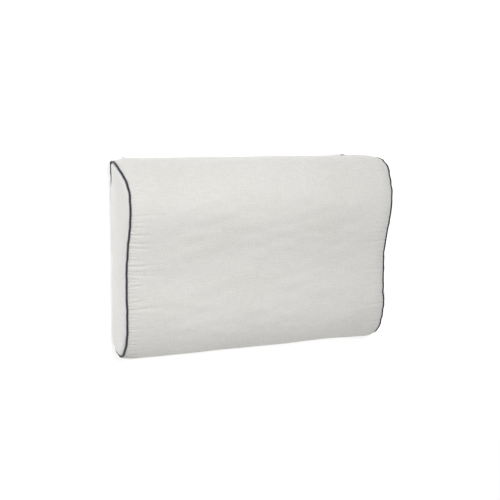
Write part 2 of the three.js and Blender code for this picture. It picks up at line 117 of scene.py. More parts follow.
def smoothed(values, width, step):
    """A closed run of values, smoothed over a width."""
    reach = int(4 * width / step)
    weights = np.exp(-0.5 * (np.arange(-reach, reach + 1) * step / width) ** 2)
    weights /= weights.sum()
    padded = np.concatenate([values[-reach:], values, values[:reach]])
    return np.apply_along_axis(lambda v: np.convolve(v, weights, "valid"), 0, padded)


def through_knots(knots):
    """A smooth curve through the knots, at even steps, without its closing point."""
    chord = np.linalg.norm(np.diff(knots, axis=0), axis=1)
    at = np.concatenate([[0], np.cumsum(chord)])
    slope = np.diff(knots, axis=0) / chord[:, None]
    before, after = np.vstack([slope[-1], slope]), np.vstack([slope, slope[0]])
    long_before, long_after = np.append(chord[-1], chord), np.append(chord, chord[0])
    tangent = (before * long_after[:, None] + after * long_before[:, None]) / (
        long_before + long_after
    )[:, None]
    fine = np.arange(0, at[-1], OUTLINE_STEP)
    i = np.clip(np.searchsorted(at, fine, "right") - 1, 0, len(chord) - 1)
    h = chord[i][:, None]
    t = ((fine - at[i]) / chord[i])[:, None]
    curve = (
        (1 + 2 * t) * (1 - t) ** 2 * knots[i]
        + t * (1 - t) ** 2 * h * tangent[i]
        + t * t * (3 - 2 * t) * knots[i + 1]
        + t * t * (t - 1) * h * tangent[i + 1]
    )
    curve = np.clip(curve, knots.min(0), knots.max(0))
    curve = smoothed(curve, OUTLINE_SMOOTHING, OUTLINE_STEP)
    return np.clip(curve, knots.min(0), knots.max(0))


class Outline:
    """The cover's outline, and its outward normals, by the way round it."""

    def __init__(self):
        curve = through_knots(outline_knots())
        closed = np.vstack([curve, curve[:1]])
        step = np.linalg.norm(np.diff(closed, axis=0), axis=1)
        self.at = np.concatenate([[0], np.cumsum(step)])
        self.around = self.at[-1]
        self.point = closed
        tangent = np.roll(curve, -1, 0) - np.roll(curve, 1, 0)
        tangent = smoothed(tangent, OUTLINE_SMOOTHING, OUTLINE_STEP)
        tangent /= np.linalg.norm(tangent, axis=1)[:, None]
        normal = np.stack([-tangent[:, 1], tangent[:, 0]], 1)
        self.normal = np.vstack([normal, normal[:1]])

    def points(self, run):
        """(Y, Z) points and outward normals at these places round the outline."""
        run = np.asarray(run, float) % self.around
        y = np.interp(run, self.at, self.point[:, 0])
        z = np.interp(run, self.at, self.point[:, 1])
        ny = np.interp(run, self.at, self.normal[:, 0])
        nz = np.interp(run, self.at, self.normal[:, 1])
        size = np.hypot(ny, nz)
        return np.stack([y, z], -1), np.stack([ny / size, nz / size], -1)

    def nearest(self, yz):
        """The places on the outline nearest to these (Y, Z) points, and how far inside they lie."""
        run, inside = [], []
        for p in yz:
            away = np.linalg.norm(self.point[:-1] - p, axis=1)
            k = int(away.argmin())
            run.append(self.at[k])
            inside.append(float((self.point[k] - p) @ self.normal[k]))
        return np.array(run), np.array(inside)


OUTLINE = Outline()


def seam_knots(side):
    """Where the seam lies by the way round: its places, its x and how far inside the outline it is."""
    node = "left_piping_cord" if side < 0 else "right_piping_cord"
    points = node_points(node)
    run, inside = OUTLINE.nearest(points[:, 1:])
    order = np.argsort(run)
    run, inside, x = run[order], inside[order], points[order, 0]
    groups = np.split(np.arange(len(run)), np.flatnonzero(np.diff(run) > CORD_STEP) + 1)
    at = np.array([run[g].mean() for g in groups])
    xs = np.array([(x[g].min() + x[g].max()) / 2 for g in groups])
    return at, xs, float(np.median(inside))


SEAM_STEP = 1 * MM
SEAM_SMOOTHING = 6 * MM
WANDER_SEED = {-1: 11, 1: 12}
WANDER_WAVES = range(9, 46, 3)  # waves round the seam
WANDER_ALONG, WANDER_OUT = 2.2, 1.6
UNEVENNESS = {-1: 1.0, 1: 1.7}


class Seam:
    """An end seam: how far out it lies, and how the sewing makes it wander."""

    def __init__(self, side):
        at, xs, self.inset = seam_knots(side)
        self.grid = np.arange(0, OUTLINE.around, SEAM_STEP)
        x = np.interp(self.grid, at, np.abs(xs), period=OUTLINE.around)
        self.x = smoothed(x, SEAM_SMOOTHING, SEAM_STEP)
        self.side = side
        self.least = float(np.abs(xs).min())
        rng = np.random.default_rng(WANDER_SEED[side])
        self.waves = [
            (n, rng.uniform(0, 2 * math.pi), rng.uniform(0, 2 * math.pi), 1 / n**0.6)
            for n in WANDER_WAVES
        ]

    def wander(self, run, size):
        """Small moves of the seam, along X and outwards, from uneven sewing."""
        turn = 2 * math.pi * np.asarray(run, float) / OUTLINE.around
        total = sum(share for _, _, _, share in self.waves)
        dx = sum(share * np.sin(n * turn + phase) for n, phase, _, share in self.waves) / total
        dn = sum(share * np.sin(n * turn + phase) for n, _, phase, share in self.waves) / total
        size = size * UNEVENNESS[self.side]
        return size * WANDER_ALONG * dx, size * WANDER_OUT * dn

    def reach(self, run):
        """How far from the pillow's middle the seam lies."""
        run = np.asarray(run, float) % OUTLINE.around
        return np.interp(run, self.grid, self.x, period=OUTLINE.around)


SEAMS = {-1: Seam(-1), 1: Seam(1)}
SEAM_X = min(seam.least for seam in SEAMS.values())
SEAM_INSET = SEAMS[-1].inset
SIDES = {-1: "left", 1: "right"}


def ease(t):
    """A smooth step from 0 to 1."""
    t = np.clip(t, 0, 1)
    return t * t * (3 - 2 * t)


def wave_noise(seed, run, x, cell_run, cell_x, waves=10):
    """Soft noise over the cloth that closes on itself round the outline."""
    rng = np.random.default_rng(seed)
    total = 0
    for _ in range(waves):
        turns = max(1, round(OUTLINE.around / (cell_run * rng.uniform(0.7, 1.6))))
        along = 2 * math.pi / (cell_x * rng.uniform(0.7, 1.6)) * rng.choice([-1, 1])
        phase = rng.uniform(0, 2 * math.pi)
        around = 2 * math.pi * turns * run / OUTLINE.around
        total = total + np.sin(around + along * x + phase)
    return total / math.sqrt(waves / 2)


# ---- Sizes and colours that a user may change ------------------------------------------------------


def length_prop(name, description, default, low=0.0, high=1.0):
    return bpy.props.FloatProperty(
        name=name,
        description=description,
        default=default,
        min=low,
        max=high,
        unit="LENGTH",
        precision=5,
    )


def share_prop(name, description, default, low=0.0, high=2.0):
    return bpy.props.FloatProperty(
        name=name,
        description=description,
        default=default,
        min=low,
        max=high,
        subtype="FACTOR",
    )


def colour_prop(name, description, default):
    return bpy.props.FloatVectorProperty(
        name=name,
        description=description,
        default=default,
        size=3,
        min=0,
        max=1,
        subtype="COLOR",
    )


class PillowShape(bpy.types.PropertyGroup):
    """Sizes of the cover's sewing and of its slack."""

    swell_run: length_prop("Swell run", "Length over which the cover swells from a seam", 0.030)
    swell_power: share_prop("Swell power", "How quickly it does so", 2.3, 1, 4)
    flare_run: length_prop("Flare run", "Length over which the seam's flare fades into the cover", 0.09)
    gather_left: share_prop("Left gathers", "How deep the gathers at the left seam are", 1.0)
    gather_right: share_prop("Right gathers", "How deep the gathers at the right seam are", 0.4)
    fold_share: share_prop("Fold depth", "How much of the settled folds' depth is kept", 1.6)
    fold_limit: length_prop("Fold limit", "Greatest depth of a settled fold", 0.0018)
    wander: length_prop("Seam wander", "How far uneven sewing moves the seams", 0.0006)
    slack: length_prop("Slack", "Height of the soft waves of the cover over the foam", 0.0007)
    end_bulge: length_prop("End bulge", "How far the end panels dome outwards", 0.0084)
    piping_radius: length_prop("Piping radius", "Half the piping's thickness", 0.0018)
    cover_wall: length_prop("Cover thickness", "Thickness of the knitted cover", 0.0012)


class PillowColours(bpy.types.PropertyGroup):
    """Colours of the cloths, the foam and the zip."""

    # The cover's two knit tones. The raised yarn's colour also carries painted highlight, and the sunk
    # ground's darker colour also carries painted shade.
    cover: colour_prop("Cover", "Raised yarn of the cover", (0.855, 0.846, 0.818))
    cover_low: colour_prop("Cover ground", "Sunk yarn of the cover", (0.742, 0.733, 0.706))
    end_panel: colour_prop("End panels", "Plain knit of the end panels", (0.84, 0.832, 0.81))
    piping: colour_prop("Piping", "Cloth of the piping", (0.018, 0.019, 0.032))
    foam: colour_prop("Foam", "Foam core", (0.83, 0.73, 0.50))
    liner: colour_prop("Liner", "Jersey of the liner", (0.84, 0.84, 0.82))
    zip_cloth: colour_prop("Zip tape", "Woven tape of the zip", (0.66, 0.65, 0.62))
    coil: colour_prop("Zip coil", "Nylon coil of the zip", (0.74, 0.73, 0.70))
    metal: colour_prop("Metal", "Slider, pull and stops", (0.60, 0.60, 0.61))
    label: colour_prop("Label", "Satin of the care label", (0.86, 0.86, 0.85))
    floor: colour_prop("Floor", "Floor under the pillow", (0.93, 0.93, 0.93))


# ---- Materials -------------------------------------------------------------------------------------


OWN = "pillow_"  # starts the names of the materials made here, apart from the frame's own


class Nodes:
    """Adds and links the nodes of one material."""

    def __init__(self, name, roughness):
        self.material = bpy.data.materials.new(OWN + name)
        self.material.use_nodes = True
        self.tree = self.material.node_tree
        self.shader = self.tree.nodes["Principled BSDF"]
        self.shader.inputs["Roughness"].default_value = roughness

    def add(self, kind, **values):
        node = self.tree.nodes.new(kind)
        for key, value in values.items():
            setattr(node, key, value)
        return node

    def join(self, source, target):
        self.tree.links.new(source, target)

    def put(self, target, value):
        """Gives an input a number, or links it to another node's output."""
        if isinstance(value, bpy.types.NodeSocket):
            self.join(value, target)
        else:
            target.default_value = value

    def math(self, operation, a, b=0.0, c=0.0):
        node = self.add("ShaderNodeMath", operation=operation)
        for socket, value in zip(node.inputs, (a, b, c)):
            self.put(socket, value)
        return node.outputs[0]

    def cloth_axes(self):
        """The cloth's own two directions, in metres: along the pillow, and round it."""
        split = self.add("ShaderNodeSeparateXYZ")
        self.join(self.coordinates("UV"), split.inputs[0])
        return split.outputs["X"], split.outputs["Y"]

    def coordinates(self, kind):
        return self.add("ShaderNodeTexCoord").outputs[kind]

    def scaled(self, place, scale):
        """A place with its own scale along each axis."""
        node = self.add("ShaderNodeMapping")
        node.inputs["Scale"].default_value = scale
        self.join(place, node.inputs["Vector"])
        return node.outputs[0]

    def noise(self, place, scale, detail=2.0, roughness=0.5):
        node = self.add("ShaderNodeTexNoise")
        node.inputs["Scale"].default_value = scale
        node.inputs["Detail"].default_value = detail
        node.inputs["Roughness"].default_value = roughness
        self.join(place, node.inputs["Vector"])
        return node.outputs["Fac"]

    def object_noise(self, scale, detail=2.0, roughness=0.5):
        return self.noise(self.coordinates("Object"), scale, detail, roughness)

    def cloth_noise(self, along, around):
        """Noise with its own scale along the pillow and round it."""
        return self.noise(self.scaled(self.coordinates("UV"), (along, around, 1)), 1.0)

    def ramp(self, value, *stops):
        node = self.add("ShaderNodeValToRGB")
        elements = node.color_ramp.elements
        for k, (at, colour) in enumerate(stops):
            element = elements[k] if k < 2 else elements.new(at)
            element.position = at
            element.color = (*colour, 1)
        self.join(value, node.inputs[0])
        return node.outputs[0]

    def blend(self, share, a, b, kind="MIX"):
        node = self.add("ShaderNodeMix", data_type="RGBA", blend_type=kind)
        self.put(node.inputs[0], share)
        self.put(node.inputs[6], a if isinstance(a, bpy.types.NodeSocket) else (*a, 1))
        self.put(node.inputs[7], b if isinstance(b, bpy.types.NodeSocket) else (*b, 1))
        return node.outputs[2]

    def bump(self, height, distance, strength=1.0, below=None):
        node = self.add("ShaderNodeBump")
        node.inputs["Strength"].default_value = strength
        node.inputs["Distance"].default_value = distance
        self.join(height, node.inputs["Height"])
        if below is not None:
            self.join(below, node.inputs["Normal"])
        return node.outputs[0]

    def finish(self, colour=None, normal=None, roughness=None, sheen=0.0):
        if colour is not None:
            self.put(self.shader.inputs["Base Color"], colour)
        if normal is not None:
            self.join(normal, self.shader.inputs["Normal"])
        if roughness is not None:
            self.join(roughness, self.shader.inputs["Roughness"])
        self.shader.inputs["Sheen Weight"].default_value = sheen
        self.shader.inputs["Sheen Roughness"].default_value = 0.5
        return self.material


def stripes(n, along, pitch):
    """Rounded ridges, one for each pitch along an axis, from 0 to 1."""
    turned = n.math("MULTIPLY", along, 2 * math.pi / pitch)
    return n.math("MULTIPLY_ADD", n.math("SINE", turned), 0.5, 0.5)


def knit_loops(n, x, run, wale, course):
    """Rows of knitted loops: columns of leaning stitches."""
    column = n.math("PINGPONG", n.math("MULTIPLY", x, 2 / wale), 1.0)
    lean = n.math("MULTIPLY_ADD", column, 0.45 * course, run)
    return n.math("MULTIPLY", stripes(n, lean, course), stripes(n, x, wale))


def tone(colour, share):
    """A lighter or darker colour."""
    return tuple(min(1.0, c * share) for c in colour)


def cover_knit():
    """Jacquard knit: small diamonds standing a little above the ground, over fine knitted loops."""
    colours = bpy.context.scene.pillow_colours
    n = Nodes("cover_knit", 0.86)
    x, run = n.cloth_axes()
    row_pitch, column_pitch = 5.2 * MM, 5.6 * MM
    zigzag_run, zigzag_height = 9 * MM, 2.5 * MM
    zigzag = n.math("PINGPONG", n.math("MULTIPLY", x, 1 / zigzag_run), 1.0)
    rows = stripes(n, n.math("MULTIPLY_ADD", zigzag, zigzag_height, run), row_pitch)
    columns = stripes(n, x, column_pitch)
    even = n.math("MULTIPLY", rows, columns)
    odd = n.math("MULTIPLY", n.math("SUBTRACT", 1.0, rows), n.math("SUBTRACT", 1.0, columns))
    figure = n.math("ADD", even, odd)
    loops = knit_loops(n, x, run, 0.9 * MM, 0.8 * MM)
    wear = n.object_noise(9.0, 3.0)
    flecks = n.object_noise(420.0, 2.0, 0.6)
    along = n.cloth_noise(45.0, 330.0)
    across = n.cloth_noise(300.0, 60.0)
    yarn = n.math("MULTIPLY_ADD", across, 0.45, n.math("MULTIPLY", along, 0.55))
    # The tone follows the raised and sunk yarn that the bumps also use. It is partly the yarn's own
    # tone, and partly painted highlight on the raised diamonds and painted shade on the sunk ground.
    share = n.math("MULTIPLY_ADD", yarn, 1.1, n.math("MULTIPLY_ADD", figure, 0.34, -0.22))
    share = n.math("MULTIPLY_ADD", flecks, 0.14, share)
    colour = n.ramp(share, (0.2, tuple(colours.cover_low)), (0.8, tuple(colours.cover)))
    shade = n.ramp(wear, (0.3, (0.965, 0.962, 0.955)), (0.7, (1.0, 1.0, 1.0)))
    colour = n.blend(1.0, colour, shade, "MULTIPLY")
    fine = n.bump(loops, 0.12 * MM, 0.5)
    normal = n.bump(figure, 0.5 * MM, 0.8, fine)
    normal = n.bump(yarn, 0.7 * MM, 0.9, normal)
    rough = n.math("MULTIPLY_ADD", flecks, 0.16, 0.76)
    return n.finish(colour, normal, rough, 0.25)


def end_knit():
    """Plain double knit."""
    colours = bpy.context.scene.pillow_colours
    n = Nodes("end_knit", 0.85)
    x, run = n.cloth_axes()
    loops = knit_loops(n, x, run, 1.3 * MM, 1.1 * MM)
    wear = n.object_noise(14.0, 3.0)
    slubs = n.object_noise(240.0, 2.0)
    uneven = n.math("MULTIPLY_ADD", slubs, 0.6, n.math("MULTIPLY", wear, 0.25))
    share = n.math("MULTIPLY_ADD", loops, 0.15, uneven)
    base = tuple(colours.end_panel)
    colour = n.ramp(share, (0.3, tone(base, 0.95)), (0.7, tone(base, 1.04)))
    height = n.math("MULTIPLY_ADD", slubs, 0.6, n.math("MULTIPLY", loops, 0.4))
    normal = n.bump(height, 0.3 * MM, 0.5)
    rough = n.math("MULTIPLY_ADD", wear, 0.12, 0.78)
    return n.finish(colour, normal, rough, 0.2)


def piping_cloth():
    """Fine twill, cut on the bias."""
    colours = bpy.context.scene.pillow_colours
    n = Nodes("piping_cloth", 0.7)
    x, run = n.cloth_axes()
    twill = stripes(n, n.math("ADD", x, run), 0.9 * MM)
    cross = stripes(n, n.math("SUBTRACT", x, run), 0.6 * MM)
    weave = n.math("MULTIPLY_ADD", cross, 0.35, n.math("MULTIPLY", twill, 0.65))
    wear = n.object_noise(60.0, 3.0)
    base = tuple(colours.piping)
    colour = n.ramp(weave, (0.1, tone(base, 0.6)), (0.9, tone(base, 1.9)))
    colour = n.blend(n.math("MULTIPLY", wear, 0.25), colour, tone(base, 3.0))
    normal = n.bump(weave, 0.12 * MM, 0.7)
    rough = n.math("MULTIPLY_ADD", wear, 0.2, 0.62)
    return n.finish(colour, normal, rough, 0.15)


def filler_cord():
    """Loosely twisted cotton."""
    n = Nodes("filler_cord", 0.9)
    x, run = n.cloth_axes()
    fibres = stripes(n, n.math("MULTIPLY_ADD", x, 2.0, run), 0.5 * MM)
    fuzz = n.object_noise(900.0, 3.0)
    share = n.math("MULTIPLY_ADD", fuzz, 0.5, n.math("MULTIPLY", fibres, 0.5))
    colour = n.ramp(share, (0.2, (0.58, 0.53, 0.44)), (0.8, (0.80, 0.76, 0.67)))
    return n.finish(colour, n.bump(share, 0.15 * MM, 0.6), None, 0.2)


def foam():
    """Open-cell foam with small pores."""
    colours = bpy.context.scene.pillow_colours
    n = Nodes("foam", 0.95)
    cells = n.add("ShaderNodeTexVoronoi", feature="F1")
    cells.inputs["Scale"].default_value = 900.0
    n.join(n.coordinates("Object"), cells.inputs["Vector"])
    pores = cells.outputs["Distance"]
    wear = n.object_noise(6.0, 4.0)
    base = tuple(colours.foam)
    colour = n.ramp(pores, (0.1, base), (0.8, tone(base, 0.8)))
    colour = n.blend(n.math("MULTIPLY", wear, 0.5), colour, tone(base, 0.92))
    return n.finish(colour, n.bump(pores, 0.4 * MM, 0.6), None, 0.1)


def liner_knit():
    """Single jersey."""
    colours = bpy.context.scene.pillow_colours
    n = Nodes("liner_knit", 0.9)
    x, run = n.cloth_axes()
    loops = knit_loops(n, x, run, 1.0 * MM, 0.8 * MM)
    base = tuple(colours.liner)
    colour = n.ramp(loops, (0.1, tone(base, 0.93)), (0.9, base))
    return n.finish(colour, n.bump(loops, 0.15 * MM, 0.6), None, 0.2)


def zip_tape():
    """Plain woven tape with a herringbone rib."""
    colours = bpy.context.scene.pillow_colours
    n = Nodes("zip_tape", 0.82)
    x, run = n.cloth_axes()
    zigzag = n.math("PINGPONG", n.math("MULTIPLY", run, 1 / (1.5 * MM)), 1.0)
    rib = stripes(n, n.math("MULTIPLY_ADD", zigzag, 1.0 * MM, x), 0.9 * MM)
    weft = stripes(n, run, 0.7 * MM)
    weave = n.math("MULTIPLY_ADD", weft, 0.4, n.math("MULTIPLY", rib, 0.6))
    base = tuple(colours.zip_cloth)
    colour = n.ramp(weave, (0.1, tone(base, 0.85)), (0.9, base))
    return n.finish(colour, n.bump(weave, 0.15 * MM, 0.7), None, 0.1)


def zip_coil():
    """Moulded nylon monofilament."""
    colours = bpy.context.scene.pillow_colours
    n = Nodes("zip_coil", 0.38)
    haze = n.object_noise(700.0, 3.0)
    base = tuple(colours.coil)
    colour = n.ramp(haze, (0.3, tone(base, 0.93)), (0.7, base))
    n.shader.inputs["Subsurface Weight"].default_value = 0.15
    n.shader.inputs["Subsurface Radius"].default_value = (0.001, 0.001, 0.001)
    return n.finish(colour, n.bump(haze, 0.02 * MM, 0.5), n.math("MULTIPLY_ADD", haze, 0.15, 0.3))


def zip_metal():
    """Plated zinc, brushed along its length, with faint scuffs."""
    colours = bpy.context.scene.pillow_colours
    n = Nodes("zip_metal", 0.32)
    brushed = n.noise(n.scaled(n.coordinates("Object"), (0.06, 1.0, 1.0)), 9000.0)
    scuffs = n.object_noise(500.0, 4.0, 0.65)
    base = tuple(colours.metal)
    colour = n.ramp(scuffs, (0.35, tone(base, 0.86)), (0.6, base))
    n.shader.inputs["Metallic"].default_value = 1.0
    rough = n.math("MULTIPLY_ADD", scuffs, 0.25, 0.2)
    return n.finish(colour, n.bump(brushed, 0.02 * MM, 0.5), rough)


def label_satin():
    """Satin ribbon: long floats across it, with a woven edge."""
    colours = bpy.context.scene.pillow_colours
    n = Nodes("label_satin", 0.4)
    x, run = n.cloth_axes()
    floats = stripes(n, n.math("MULTIPLY_ADD", run, 0.2, x), 0.35 * MM)
    base = tuple(colours.label)
    colour = n.ramp(floats, (0.1, tone(base, 0.92)), (0.9, base))
    n.shader.inputs["Anisotropic"].default_value = 0.4
    return n.finish(colour, n.bump(floats, 0.05 * MM, 0.6), None, 0.3)


def thread():
    """Spun polyester sewing thread."""
    n = Nodes("thread", 0.6)
    twist = n.object_noise(2500.0, 2.0)
    colour = n.ramp(twist, (0.3, (0.62, 0.61, 0.58)), (0.7, (0.76, 0.75, 0.72)))
    return n.finish(colour, n.bump(twist, 0.04 * MM, 0.6), None, 0.3)


def material(maker):
    """A material by its maker, made once."""
    return bpy.data.materials.get(OWN + maker.__name__) or maker()


# ---- Making meshes ---------------------------------------------------------------------------------


def mesh_from(bm, name):
    """A new mesh with what the bmesh holds, which is then freed."""
    mesh = bpy.data.meshes.new(name)
    bm.to_mesh(mesh)
    bm.free()
    return mesh


def grid_mesh(name, across, along, place, roll=False):
    """A grid of cells moved into place: place(i, j) gives its points and their place on the cloth."""
    bm = bmesh.new()
    bmesh.ops.create_grid(bm, x_segments=across, y_segments=along, size=0.5)
    mesh = mesh_from(bm, name)
    co = np.zeros(len(mesh.vertices) * 3)
    mesh.vertices.foreach_get("co", co)
    co = co.reshape(-1, 3)
    i = np.rint((co[:, 0] + 0.5) * across).astype(int)
    j = np.rint((co[:, 1] + 0.5) * along).astype(int)
    points, cloth = place(i, j)
    mesh.vertices.foreach_set("co", points.ravel())
    layer = mesh.uv_layers.get("UVMap") or mesh.uv_layers.new(name="UVMap")
    corner = np.zeros(len(mesh.loops), np.int32)
    mesh.loops.foreach_get("vertex_index", corner)
    layer.data.foreach_set("uv", cloth[corner].astype(np.float32).ravel())
    if roll:
        close_up(mesh)
    return mesh


def close_up(mesh, distance=0.02 * MM):
    """Joins the points that meet, and points the faces outwards."""
    bm = bmesh.new()
    bm.from_mesh(mesh)
    bmesh.ops.remove_doubles(bm, verts=bm.verts, dist=distance)
    bmesh.ops.dissolve_degenerate(bm, edges=bm.edges, dist=distance / 2)
    bmesh.ops.recalc_face_normals(bm, faces=bm.faces)
    if bm.calc_volume(signed=True) < 0:
        bmesh.ops.reverse_faces(bm, faces=bm.faces)
    bm.to_mesh(mesh)
    bm.free()


def new_piece(name, mesh, maker, slot, body, *nodes):
    """Puts a mesh in the scene as a piece that rides on a body and stands for these CAD nodes."""
    for polygon in mesh.polygons:
        polygon.use_smooth = True
    piece = bpy.data.objects.new(name, mesh)
    bpy.context.scene.collection.objects.link(piece)
    mesh.materials.append(material(maker))
    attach(piece, body)
    if nodes:
        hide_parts(*nodes)
    return piece


def add_wall(piece, thickness):
    """Gives a piece of cloth its thickness, inwards."""
    wall = piece.modifiers.new("Wall", "SOLIDIFY")
    wall.thickness = thickness
    wall.offset = -1
    wall.use_rim = True


def repeat(piece, name, pitch, count):
    """Repeats a piece along X."""
    row = piece.modifiers.new(name, "ARRAY")
    row.use_relative_offset = False
    row.use_constant_offset = True
    row.constant_offset_displace = (pitch, 0, 0)
    row.count = count


def face_along(mesh, direction):
    """Turns an open skin's faces round if they look against a direction."""
    if sum(p.normal.dot(direction) * p.area for p in mesh.polygons) < 0:
        mesh.flip_normals()


def point_outwards(mesh):
    """Turns an open skin's faces away from the middle of the pillow."""
    middle = Vector((0, 0, (CAD_BOX[0][2] + CAD_BOX[1][2]) / 2))
    if sum((p.center - middle).dot(p.normal) * p.area for p in mesh.polygons) < 0:
        mesh.flip_normals()


def lay_out(x, run, inset):
    """Points at x, lying inset from the outline. Near an end they follow its seam's flare."""
    flare_run = bpy.context.scene.pillow_shape.flare_run
    yz, normal = OUTLINE.points(run)
    yz = yz - normal * np.asarray(inset)[..., None]
    extra = np.zeros(np.shape(x))
    for end, seam in SEAMS.items():
        out = np.clip((np.abs(x) - SEAM_X + flare_run) / flare_run, 0, None)
        extra = np.where(np.sign(x) == end, end * (seam.reach(run) - SEAM_X) * out**2, extra)
    return np.concatenate([(x + extra)[..., None], yz], -1)


WANDER_FADE = 12 * MM


def near_seam(x, run, size):
    """The seam's wander at these places, fading away from it, along X and outwards."""
    dx, dn = np.zeros(np.shape(x)), np.zeros(np.shape(x))
    for end, seam in SEAMS.items():
        fade = np.exp(-np.clip(SEAM_X - np.abs(x), 0, None) / WANDER_FADE)
        wx, wn = seam.wander(run, size)
        here = np.sign(x) == end
        dx = np.where(here, wx * fade, dx)
        dn = np.where(here, wn * fade, dn)
    return dx, dn


# ---- Cover -----------------------------------------------------------------------------------------


def growing_steps(reach, first, growth, largest):
    """Distances from 0 to reach, in steps that grow from the first one to the largest."""
    at = [0.0]
    while at[-1] < reach:
        at.append(at[-1] + min(largest, first + growth * at[-1]))
    return np.array(at) * reach / at[-1]


def cover_stations():
    """Places along X, close together near the seams."""
    away = growing_steps(SEAM_X, first=1.1 * MM, growth=0.034, largest=7 * MM)
    right = SEAM_X - away
    return np.concatenate([-right[:-1], [0.0], right[:-1][::-1]])


ROW_FINE, ROW_COARSE = 1.45 * MM, 4.2 * MM
ROW_SAMPLE = 1 * MM


def cover_rows():
    """Places round the outline, close together on the front and the sleeping surface."""
    fine = np.arange(0.0, OUTLINE.around, ROW_SAMPLE)
    yz, _ = OUTLINE.points(fine)
    top = ease((yz[:, 1] - 12 * MM) / (20 * MM)) * ease((175 * MM - yz[:, 0]) / (30 * MM))
    step = ROW_COARSE + (ROW_FINE - ROW_COARSE) * top
    count = np.concatenate([[0], np.cumsum(ROW_SAMPLE / step)])[:-1]
    cells = int(count[-1])
    rows = np.interp(np.linspace(0, count[-1], cells + 1), count, fine)
    return rows / rows[-1] * OUTLINE.around


def gather_strength(run):
    """How gathered the cover is along a seam: most over the neck hollow and the front lobe."""
    yz, _ = OUTLINE.points(run)
    top = ease((yz[..., 1] - 6 * MM) / (20 * MM))
    front = ease((106 * MM - yz[..., 0]) / (50 * MM))
    return 0.12 + 0.88 * top * front


LONG_SHARE = 0.2  # the share of the creases that run far into the cover
LONG_CREASE = {"length": (45 * MM, 110 * MM), "depth": (1.9 * MM, 3.2 * MM), "width": 1.5 * MM}
SHORT_CREASE = {"length": (12 * MM, 45 * MM), "depth": (0.9 * MM, 2.6 * MM), "width": 1.05 * MM}
CREASE_SPREAD = 0.045  # how much a crease widens on its way in
CREASE_GAPS = (3.6 * MM, 8.4 * MM)


def creases(seed, run, away, strength):
    """Heights of the creases: valleys that start unevenly at the seam and run into the cover."""
    rng = np.random.default_rng(seed)
    height = np.zeros(np.broadcast(run, away).shape)
    at = 0.0
    while at < OUTLINE.around - 3 * MM:
        local = float(gather_strength(at))
        kind = LONG_CREASE if rng.random() < LONG_SHARE else SHORT_CREASE
        length = rng.uniform(*kind["length"])
        depth = strength * local * rng.uniform(*kind["depth"])
        lean = rng.normal(0, 0.10)
        bow = rng.normal(0, 1.2)
        centre = at + lean * away + bow * away**2
        spread = kind["width"] + CREASE_SPREAD * away
        fade = ease(1 - away / length) * ease(away / (1.2 * MM) + 0.25)
        side = (run - centre + OUTLINE.around / 2) % OUTLINE.around - OUTLINE.around / 2
        valley = np.exp(-((side / spread) ** 2))
        banks = np.exp(-(((np.abs(side) - 2.1 * spread) / (1.3 * spread)) ** 2))
        height += depth * fade * (0.32 * banks - valley)
        at += rng.uniform(*CREASE_GAPS) * (2.0 - local)
    return height


GATHER_REACH = 100 * MM  # how far from a seam the gathers are settled as cloth
GATHER_FRAMES = 8
GATHER_WIDENING = 1.10  # how much wider than its seam the cloth is where it is fully gathered
HELD_AT_SEAM, HELD_BEYOND = 0.6 * MM, 2 * MM  # widths of the held edges
REST_NEAR, REST_FAR = 0.2, 0.45  # how firmly the cloth between them rests, by the seam and far off
FOLD_SMOOTHING = 8 * MM
ZIP_REACH = 255 * MM  # beyond this the zip's seam is plain
CREASE_START = 0.2  # how much of each crease the cloth starts with, so that it folds unevenly
CREASES_LEFT, CREASES_RIGHT = 3, 4  # seeds


def fullness(run, away):
    """How much of the gathers' extra width the cloth has at these places, from 0 to 1."""
    uneven = np.clip(0.6 + 0.4 * wave_noise(51, run, away, 0.030, 0.30, 8), 0.05, 1)
    length = (36 + 18 * np.clip(wave_noise(52, run, away, 0.045, 0.40, 8), -1, 1)) * MM
    return np.clip(gather_strength(run) * uneven * np.exp(-((away / length) ** 2)), 0, 1)


def settled(points, away, full, columns):
    """Lets the cloth beside a seam buckle, and gives how far each point moves.

    It is held at the seam, rests softly on what is under it, and is wider where it is full.
    """
    mesh = bpy.data.meshes.new("gathering")
    at = np.arange(len(points)).reshape(-1, columns)
    corners = (at[:-1, :-1], at[:-1, 1:], at[1:, 1:], at[1:, :-1])
    cells = np.stack([c.ravel() for c in corners], 1)
    mesh.from_pydata(points.tolist(), [], cells.tolist())
    cloth = bpy.data.objects.new("gathering", mesh)
    scene = bpy.context.scene
    scene.collection.objects.link(cloth)
    hold = cloth.vertex_groups.new(name="hold")
    narrow = cloth.vertex_groups.new(name="narrow")
    held = (away < HELD_AT_SEAM) | (away > GATHER_REACH - HELD_BEYOND)
    rest = np.where(held, 1.0, REST_NEAR + (REST_FAR - REST_NEAR) * ease(away / GATHER_REACH))
    for k in range(len(points)):
        hold.add([k], float(rest[k]), "REPLACE")
        narrow.add([k], 1 - float(full[k]), "REPLACE")
    cloth.shape_key_add(name="Basis")
    wide = cloth.shape_key_add(name="wide")
    wide.data.foreach_set("co", (points * GATHER_WIDENING).ravel())
    simulated = cloth.modifiers.new("Cloth", "CLOTH")
    simulated.collision_settings.use_collision = False
    simulated.point_cache.frame_start, simulated.point_cache.frame_end = 1, GATHER_FRAMES
    settings = simulated.settings
    settings.quality = 5
    settings.vertex_group_mass = "hold"
    settings.pin_stiffness = 1.0
    settings.vertex_group_shrink = "narrow"
    settings.shrink_max = 1 - 1 / GATHER_WIDENING
    settings.rest_shape_key = wide
    settings.effector_weights.gravity = 0
    settings.tension_stiffness = settings.compression_stiffness = 80
    settings.tension_damping = settings.compression_damping = 15
    settings.bending_stiffness = 30
    settings.air_damping = 3
    for frame_number in range(1, GATHER_FRAMES + 1):
        scene.frame_set(frame_number)
    done = cloth.evaluated_get(bpy.context.evaluated_depsgraph_get())
    moved = np.zeros(len(points) * 3)
    done.data.vertices.foreach_get("co", moved)
    bpy.data.objects.remove(cloth)
    bpy.data.meshes.remove(mesh)
    scene.frame_set(1)
    return moved.reshape(-1, 3) - points


